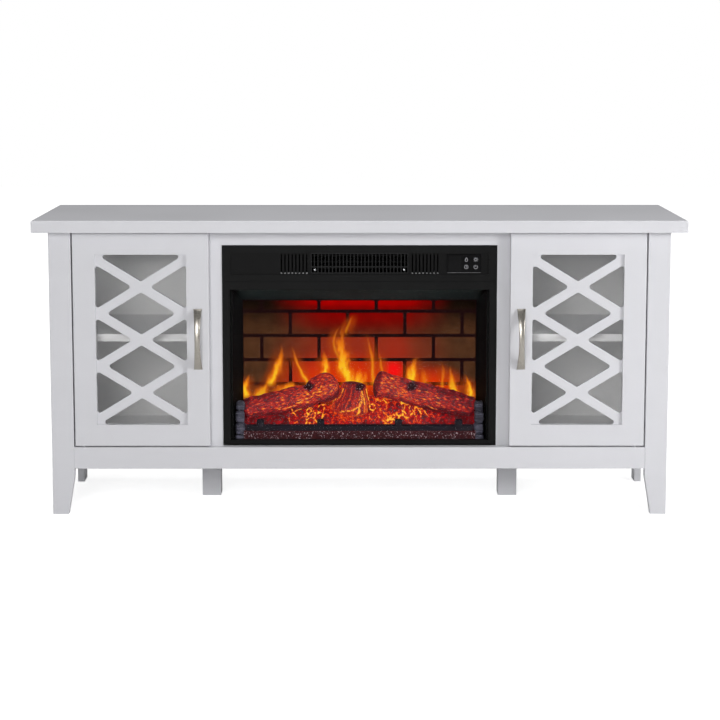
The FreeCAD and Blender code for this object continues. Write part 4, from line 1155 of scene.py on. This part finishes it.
def symbol_lines(name, r):
    """The lines of each key's plain symbol of radius r, with True for a closed one."""
    if name == "flame_key":
        return [(drop(r * 1.1), True)]
    if name == "heat_key":
        rays = []
        for k in range(8):
            turn = math.radians(45 * k)
            way = Vector((math.cos(turn), math.sin(turn)))
            rays.append(([way * r * 0.95, way * r * 1.3], False))
        return [(arc(r * 0.62, 0, 360, 22)[:-1], True)] + rays
    if name == "timer_key":
        hands = [Vector((0.0, r * 0.62)), Vector((0.0, 0.0)), Vector((r * 0.5, -r * 0.2))]
        return [(arc(r, 0, 360, 28)[:-1], True), (hands, False)]
    return [(arc(r, 125, 415, 24), False), ([Vector((0.0, r * 1.15)), Vector((0.0, r * 0.1))], False)]


def make_symbols():
    sizes = bpy.context.scene.mantel_sizes
    for name in ("flame_key", "heat_key", "timer_key", "power_key"):
        low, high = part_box(name)
        x, z = (low.x + high.x) / 2, (low.z + high.z) / 2
        points, faces = [], []
        for line, closed in symbol_lines(name, sizes.symbol_radius):
            moved = [Vector((p.x + x, p.y + z)) for p in line]
            face, root = low.y - sizes.symbol_rise, low.y + sizes.symbol_root
            more, sides = ribbon(moved, sizes.symbol_stroke, face, root, closed, len(points))
            points += more
            faces += sides
        new_piece(name + "_symbol", points, faces, finish("key_symbol"), name)


# Fasteners
def screw_head(diameter):
    """Pan head with a cross recess, its seat on z = 0."""
    r = diameter / 2
    around = 24
    # share of the radius, rise as a share of the radius, and how far a ring draws in between the cross's arms
    profile = (
        (1.0, 0.0, 1.0), (1.0, 0.16, 1.0), (0.93, 0.30, 1.0), (0.78, 0.40, 1.0),
        (0.60, 0.455, 1.0), (0.46, 0.47, 1.0), (0.44, 0.45, 0.42), (0.36, 0.16, 0.42),
    )
    rings = []
    for share, rise, between in profile:
        ring = []
        for n in range(around):
            turn = 2 * math.pi * n / around
            out = share * r * (1.0 if n % 6 in (0, 1, 5) else between)
            ring.append(Vector((out * math.cos(turn), out * math.sin(turn), rise * r)))
        rings.append(ring)
    return new_mesh("screw head", *loft(rings), sharp=38.0)


def slot_glint(width, depth, height):
    """Sill at the foot of a slot, rounded to the front, whose pale finish paints a glint on it."""
    section = ((0, 0), (0, height * 0.55), (depth * 0.2, height), (depth, height), (depth, 0))
    rings = [[Vector((x, y, z)) for y, z in section] for x in (width / 2, -width / 2)]
    return new_mesh("slot glint", *loft(rings))


def fastener_tree():
    """Sets one copy of a head on each point, faced along the point's own direction and turned at random."""
    tree = bpy.data.node_groups.new("set on points", "GeometryNodeTree")
    for label, kind, way in (
        ("Points", "Geometry", "INPUT"), ("Head", "Object", "INPUT"), ("Finish", "Material", "INPUT"),
        ("Turn", "Float", "INPUT"), ("Seed", "Int", "INPUT"), ("Set", "Geometry", "OUTPUT"),
    ):
        tree.interface.new_socket(label, in_out=way, socket_type="NodeSocket" + kind)
    g = Graph(tree)
    taken = g.node("NodeGroupInput").outputs
    head = g.node("GeometryNodeObjectInfo", {"Object": taken["Head"]})
    facing = g.node("GeometryNodeInputNamedAttribute", {"Name": "facing"}, data_type="FLOAT_VECTOR")
    aligned = g.node("FunctionNodeAlignRotationToVector", {"Vector": facing.outputs[0]}, axis="Z")
    chance = g.node("FunctionNodeRandomValue", {"Seed": taken["Seed"]}, data_type="FLOAT")
    angle = g.times(chance.outputs[1], taken["Turn"])
    spin = g.node("FunctionNodeAxisAngleToRotation", {"Axis": (0.0, 0.0, 1.0), "Angle": angle})
    turned = g.node(
        "FunctionNodeRotateRotation", {0: aligned.outputs[0], 1: spin.outputs[0]}, rotation_space="LOCAL"
    )
    placed = g.node(
        "GeometryNodeInstanceOnPoints",
        {"Points": taken["Points"], "Instance": head.outputs["Geometry"], "Rotation": turned.outputs[0]},
    )
    real = g.node("GeometryNodeRealizeInstances", {0: placed.outputs[0]})
    made = g.node("GeometryNodeSetMaterial", {"Geometry": real.outputs[0], "Material": taken["Finish"]})
    g.feed(g.node("NodeGroupOutput").inputs["Set"], made.outputs[0])
    return tree


def set_on_points(name, head_mesh, spots, key, body, turn=math.pi):
    """Runs the tree on (point, direction) pairs and keeps the result as a plain mesh."""
    tree = bpy.data.node_groups.get("set on points") or fastener_tree()
    head = new_object(name + " head", head_mesh)
    cloud = new_mesh(name + " points", [p for p, _ in spots], [])
    facing = cloud.attributes.new("facing", "FLOAT_VECTOR", "POINT")
    facing.data.foreach_set("vector", [v for _, way in spots for v in way])
    carrier = new_object(name, cloud)
    modifier = carrier.modifiers.new("set", "NODES")
    modifier.node_group = tree
    seed = bpy.context.scene.mantel_sizes.turn_seed
    values = {"Head": head, "Finish": finish(key), "Turn": turn, "Seed": seed}
    for item in tree.interface.items_tree:
        if item.in_out == "INPUT" and item.name in values:
            modifier[item.identifier] = values[item.name]
    bpy.context.view_layer.update()
    ready = carrier.evaluated_get(bpy.context.evaluated_depsgraph_get())
    mesh = bpy.data.meshes.new_from_object(ready)
    carrier.modifiers.remove(modifier)
    carrier.data = mesh
    mesh.name = name
    bpy.data.objects.remove(head)
    if not mesh.polygons:
        raise RuntimeError(name + " came out empty")
    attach(carrier, body)
    return carrier


def along(a, b, pitch):
    """Points from a to b at about the given pitch, ends included."""
    count = max(1, round((b - a).length / pitch))
    return [a.lerp(b, k / count) for k in range(count + 1)]


def panel_rim(node, inset, pitch):
    """Points round the edge of an upright panel's back, each once."""
    low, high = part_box(node)
    y = high.y
    x0, x1, z0, z1 = low.x + inset, high.x - inset, low.z + inset, high.z - inset
    corners = [Vector((x0, y, z0)), Vector((x1, y, z0)), Vector((x1, y, z1)), Vector((x0, y, z1))]
    points = []
    for a, b in zip(corners, corners[1:] + corners[:1]):
        points += along(a, b, pitch)[:-1]
    return points


# Places of fasteners that no solid's box gives
EAR_X = 0.298
EAR_INSET = 0.013
EAR_THICKNESS = 0.0015
GRILLE_SCREW = (0.0962, 0.5347)
GRILLE_RECESS = 0.0012
SLOT_COUNT = 8
SLOT_FIRST = 0.114
SLOT_PITCH = 0.0078
SLOT_FOOT = 0.5264
HANDLE_SCREW_INSET = 0.007
# Width, depth and height of the pale lips that paint glints, and how far they stand out of the face
SLOT_GLINT = (0.0033, 0.0010, 0.0017)
SLOT_GLINT_PROUD = 0.0004
FASCIA_GLINT = (0.072, 0.0006, 0.0006)
FASCIA_GLINT_PROUD = 0.0003
FASCIA_GLINT_RISE = 0.0022


def panel_screws(head):
    """Screws round the back panels and the rear cover, and through the brackets' ears."""
    backward = Vector((0, 1, 0))
    spots = []
    for node in both("back_panel"):
        spots += [(p, backward) for p in panel_rim(node, inset=0.007, pitch=0.155)]
    set_on_points("back_panel_screws", head, spots, "zinc_plate", "cabinet")
    spots = [(p, backward) for p in panel_rim("rear_cover", inset=0.008, pitch=0.14)]
    set_on_points("rear_cover_screws", head, spots, "black_powder_coat", "cabinet")
    low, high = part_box("insert_brackets")
    spots = []
    for z in (low.z + EAR_INSET, high.z - EAR_INSET):
        for x in (-EAR_X, EAR_X):
            spots.append((Vector((x, low.y + EAR_THICKNESS, z)), backward))
    set_on_points("bracket_screws", head, spots, "zinc_plate", "cabinet")


def handle_screws(head):
    """Two screws through each door's frame into its handle."""
    for side in ("left", "right"):
        low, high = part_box(side + "_handle")
        x, y = (low.x + high.x) / 2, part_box(side + "_door_frame")[1].y
        heights = (low.z + HANDLE_SCREW_INSET, high.z - HANDLE_SCREW_INSET)
        spots = [(Vector((x, y, z)), Vector((0, 1, 0))) for z in heights]
        set_on_points(side + "_handle_screws", head, spots, "zinc_plate", side + "_door")


def header_details(head):
    """Two screws in the outlet grille, and pale lips under the slots and the fascia that paint glints there.
    """
    x, z = GRILLE_SCREW
    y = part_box("outlet_grille")[0].y + GRILLE_RECESS
    spots = [(Vector((sign * x, y, z)), Vector((0, -1, 0))) for sign in (-1, 1)]
    set_on_points("grille_screws", head, spots, "zinc_plate", "cabinet")
    upward = Vector((0, 0, 1))
    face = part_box("header_panel")[0].y - SLOT_GLINT_PROUD
    spots = []
    for n in range(SLOT_COUNT):
        for sign in (-1, 1):
            spots.append((Vector((sign * (SLOT_FIRST + n * SLOT_PITCH), face, SLOT_FOOT)), upward))
    set_on_points("slot_lips", slot_glint(*SLOT_GLINT), spots, "glint_edge", "cabinet", 0.0)
    low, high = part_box("control_fascia")
    middle = (low.x + high.x) / 2
    spots = [(Vector((middle, low.y - FASCIA_GLINT_PROUD, low.z + FASCIA_GLINT_RISE)), upward)]
    set_on_points("fascia_lip", slot_glint(*FASCIA_GLINT), spots, "glint_edge", "cabinet", 0.0)


# Stage
def lamp(name, watts, size, place):
    """A square lamp that faces the middle of the object."""
    data = bpy.data.lights.new(name, "AREA")
    data.energy = watts
    data.size = size
    made = new_object(name, data)
    made.location = place
    made.rotation_mode = "QUATERNION"
    made.rotation_quaternion = (LAMP_AIM - place).to_track_quat("-Z", "Y")


def seen(graph):
    """1 for rays from the camera and through clear glass, 0 for rays that carry light."""
    rays = graph.node("ShaderNodeLightPath").outputs
    return graph.math("MAXIMUM", rays["Is Camera Ray"], rays["Is Transmission Ray"])


def make_floor(stage):
    """A wide pale floor that keeps the shadow and fades to white far off."""
    corners = [(x * FLOOR_HALF, y * FLOOR_HALF, 0) for x, y in ((-1, -1), (1, -1), (1, 1), (-1, 1))]
    floor = new_object("studio_floor", new_mesh("studio_floor", corners, [(0, 1, 2, 3)]))
    material, g, shader = new_material("studio_floor")
    haze = g.noise(g.place(), 0.7, 2.0)
    g.feed(shader["Base Color"], g.shade(rgba(stage.floor), g.span(haze, 0.2, 0.8, 0.99, 1.0)))
    far = g.node("ShaderNodeVectorMath", {0: g.place()}, operation="LENGTH").outputs["Value"]
    lift = g.times(seen(g), g.span(far, 1.2, 4.0, stage.floor_lift, 1.0))
    g.feed(shader["Emission Color"], g.grey(lift))
    for label, value in (("Roughness", 0.9), ("Specular IOR Level", 0.0), ("Emission Strength", 1.0)):
        shader[label].default_value = value
    floor.data.materials.append(material)


def make_stage():
    scene = bpy.context.scene
    stage = scene.mantel_stage
    scene.view_settings.view_transform = "Standard"
    scene.world = bpy.data.worlds.new("studio")
    scene.world.use_nodes = True
    g = Graph(scene.world.node_tree)
    sky = scene.world.node_tree.nodes["Background"].inputs
    sky["Color"].default_value = (1.0, 1.0, 1.0, 1.0)
    g.feed(sky["Strength"], g.span(seen(g), 0.0, 1.0, stage.world_light, 1.0))
    make_floor(stage)
    lamp("key", stage.key_power, stage.key_size, LAMP_AIM + KEY_WAY * stage.key_distance)
    lamp("fill", stage.fill_power, stage.fill_size, FILL_PLACE)
    lamp("top", stage.top_power, stage.top_size, TOP_PLACE)
    data = bpy.data.cameras.new("camera")
    data.lens = stage.lens
    data.sensor_width = SENSOR_WIDTH
    data.shift_y = CAMERA_SHIFT
    camera = new_object("camera", data)
    camera.location = CAMERA_PLACE
    camera.rotation_euler = (math.radians(90.0 - CAMERA_TILT), 0.0, math.radians(CAMERA_TURN))
    scene.camera = camera


# Operators
class MANTEL_OT_cabinet(bpy.types.Operator):
    """Lacquers the boards, back panels and pins of the cabinet"""

    bl_idname = "mantel.cabinet"
    bl_label = "Cabinet"

    def execute(self, context):
        coat("white_lacquer", "top_panel", "header_rail", "bottom_rail", "support_legs")
        coat("white_lacquer", *both("front_post", "centre_stile", "side_panel"))
        coat("inner_white", "bottom_panel", *both("partition", "shelf"))
        coat("white_hardboard", *both("back_panel"))
        coat("zinc_plate", "shelf_pins")
        coat("white_plastic", "pivot_bushes")
        return {"FINISHED"}


class MANTEL_OT_doors(bpy.types.Operator):
    """Finishes the door frames, lattices, glass and beads, and makes the bow handles"""

    bl_idname = "mantel.doors"
    bl_label = "Doors and handles"

    def execute(self, context):
        coat("white_lacquer", *both("door_frame", "door_lattice"))
        coat("door_glass", *both("door_glass"))
        coat("white_plastic", *both("glass_bead"))
        coat("zinc_plate", *both("pivot_pins"))
        make_handles()
        return {"FINISHED"}


class MANTEL_OT_face(bpy.types.Operator):
    """Finishes the insert's frame, header, outlet and controls, and draws the key symbols"""

    bl_idname = "mantel.face"
    bl_label = "Insert face"

    def execute(self, context):
        coat("black_powder_coat", "front_frame")
        coat("black_header_plastic", "header_panel")
        coat("grille_plastic", "outlet_grille")
        coat("fire_glass", "front_glass")
        coat("gloss_black", "control_fascia", "flame_key", "heat_key", "timer_key", "power_key")
        coat("smoked_lens", "display_window")
        make_symbols()
        return {"FINISHED"}


class MANTEL_OT_fire(bpy.types.Operator):
    """Lights the brick screen and makes the logs, embers and end stones"""

    bl_idname = "mantel.fire"
    bl_label = "Fire"

    def execute(self, context):
        coat("soot_black", "chamber_liner")
        coat("lit_brick_screen", "brick_screen")
        coat("grate_paint", "grate")
        make_log("left_log", 0.4, ROUND_END)
        make_log("right_log", 2.1, FLAT_END)
        make_log("centre_log", 1.2, FLAT_END)
        make_ember_bed()
        make_end_stones()
        return {"FINISHED"}


class MANTEL_OT_works(bpy.types.Operator):
    """Finishes the shell and the works behind the fire"""

    bl_idname = "mantel.works"
    bl_label = "Works"

    def execute(self, context):
        coat("black_powder_coat", "firebox_shell", "rear_cover", "blower_duct")
        coat("black_header_plastic", "cord_gland", "blower_rotor", "blower_motor")
        coat("zinc_plate", "insert_brackets", "rotor_motor")
        coat("bright_aluminium", "flame_rotor")
        coat("black_powder_coat", "heating_element")
        coat("circuit_board", "control_board", "light_strip")
        return {"FINISHED"}


class MANTEL_OT_fasteners(bpy.types.Operator):
    """Sets the screws, and the pale lips that paint glints, on their points"""

    bl_idname = "mantel.fasteners"
    bl_label = "Fasteners"

    def execute(self, context):
        sizes = context.scene.mantel_sizes
        panel_screws(screw_head(sizes.screw_head))
        handle_screws(screw_head(sizes.handle_screw))
        header_details(screw_head(sizes.grille_screw))
        return {"FINISHED"}


class MANTEL_OT_stage(bpy.types.Operator):
    """Sets up the floor, the lamps, the room light and the camera"""

    bl_idname = "mantel.stage"
    bl_label = "Stage"

    def execute(self, context):
        make_stage()
        return {"FINISHED"}


OPERATORS = (
    MANTEL_OT_cabinet,
    MANTEL_OT_doors,
    MANTEL_OT_face,
    MANTEL_OT_fire,
    MANTEL_OT_works,
    MANTEL_OT_fasteners,
    MANTEL_OT_stage,
)


class MANTEL_PT_sidebar(bpy.types.Panel):
    """Lists the mantel's pieces, finishes and sizes"""

    bl_idname = "MANTEL_PT_sidebar"
    bl_label = "Fireplace mantel"
    bl_space_type = "VIEW_3D"
    bl_region_type = "UI"
    bl_category = "Mantel"

    def draw(self, context):
        for made in OPERATORS:
            self.layout.operator(made.bl_idname)
        for group in (context.scene.mantel_finishes, context.scene.mantel_sizes, context.scene.mantel_stage):
            column = self.layout.column()
            for name in group.__annotations__:
                column.prop(group, name)


CLASSES = (MantelFinishes, MantelSizes, MantelStage) + OPERATORS + (MANTEL_PT_sidebar,)


def register():
    for made in CLASSES:
        bpy.utils.register_class(made)
    bpy.types.Scene.mantel_finishes = PointerProperty(type=MantelFinishes)
    bpy.types.Scene.mantel_sizes = PointerProperty(type=MantelSizes)
    bpy.types.Scene.mantel_stage = PointerProperty(type=MantelStage)


def unregister():
    del bpy.types.Scene.mantel_stage
    del bpy.types.Scene.mantel_sizes
    del bpy.types.Scene.mantel_finishes
    for made in reversed(CLASSES):
        bpy.utils.unregister_class(made)


def main():
    register()
    bpy.ops.mantel.cabinet()
    bpy.ops.mantel.doors()
    bpy.ops.mantel.face()
    bpy.ops.mantel.fire()
    bpy.ops.mantel.works()
    bpy.ops.mantel.fasteners()
    bpy.ops.mantel.stage()


if __name__ == "__main__":
    main()
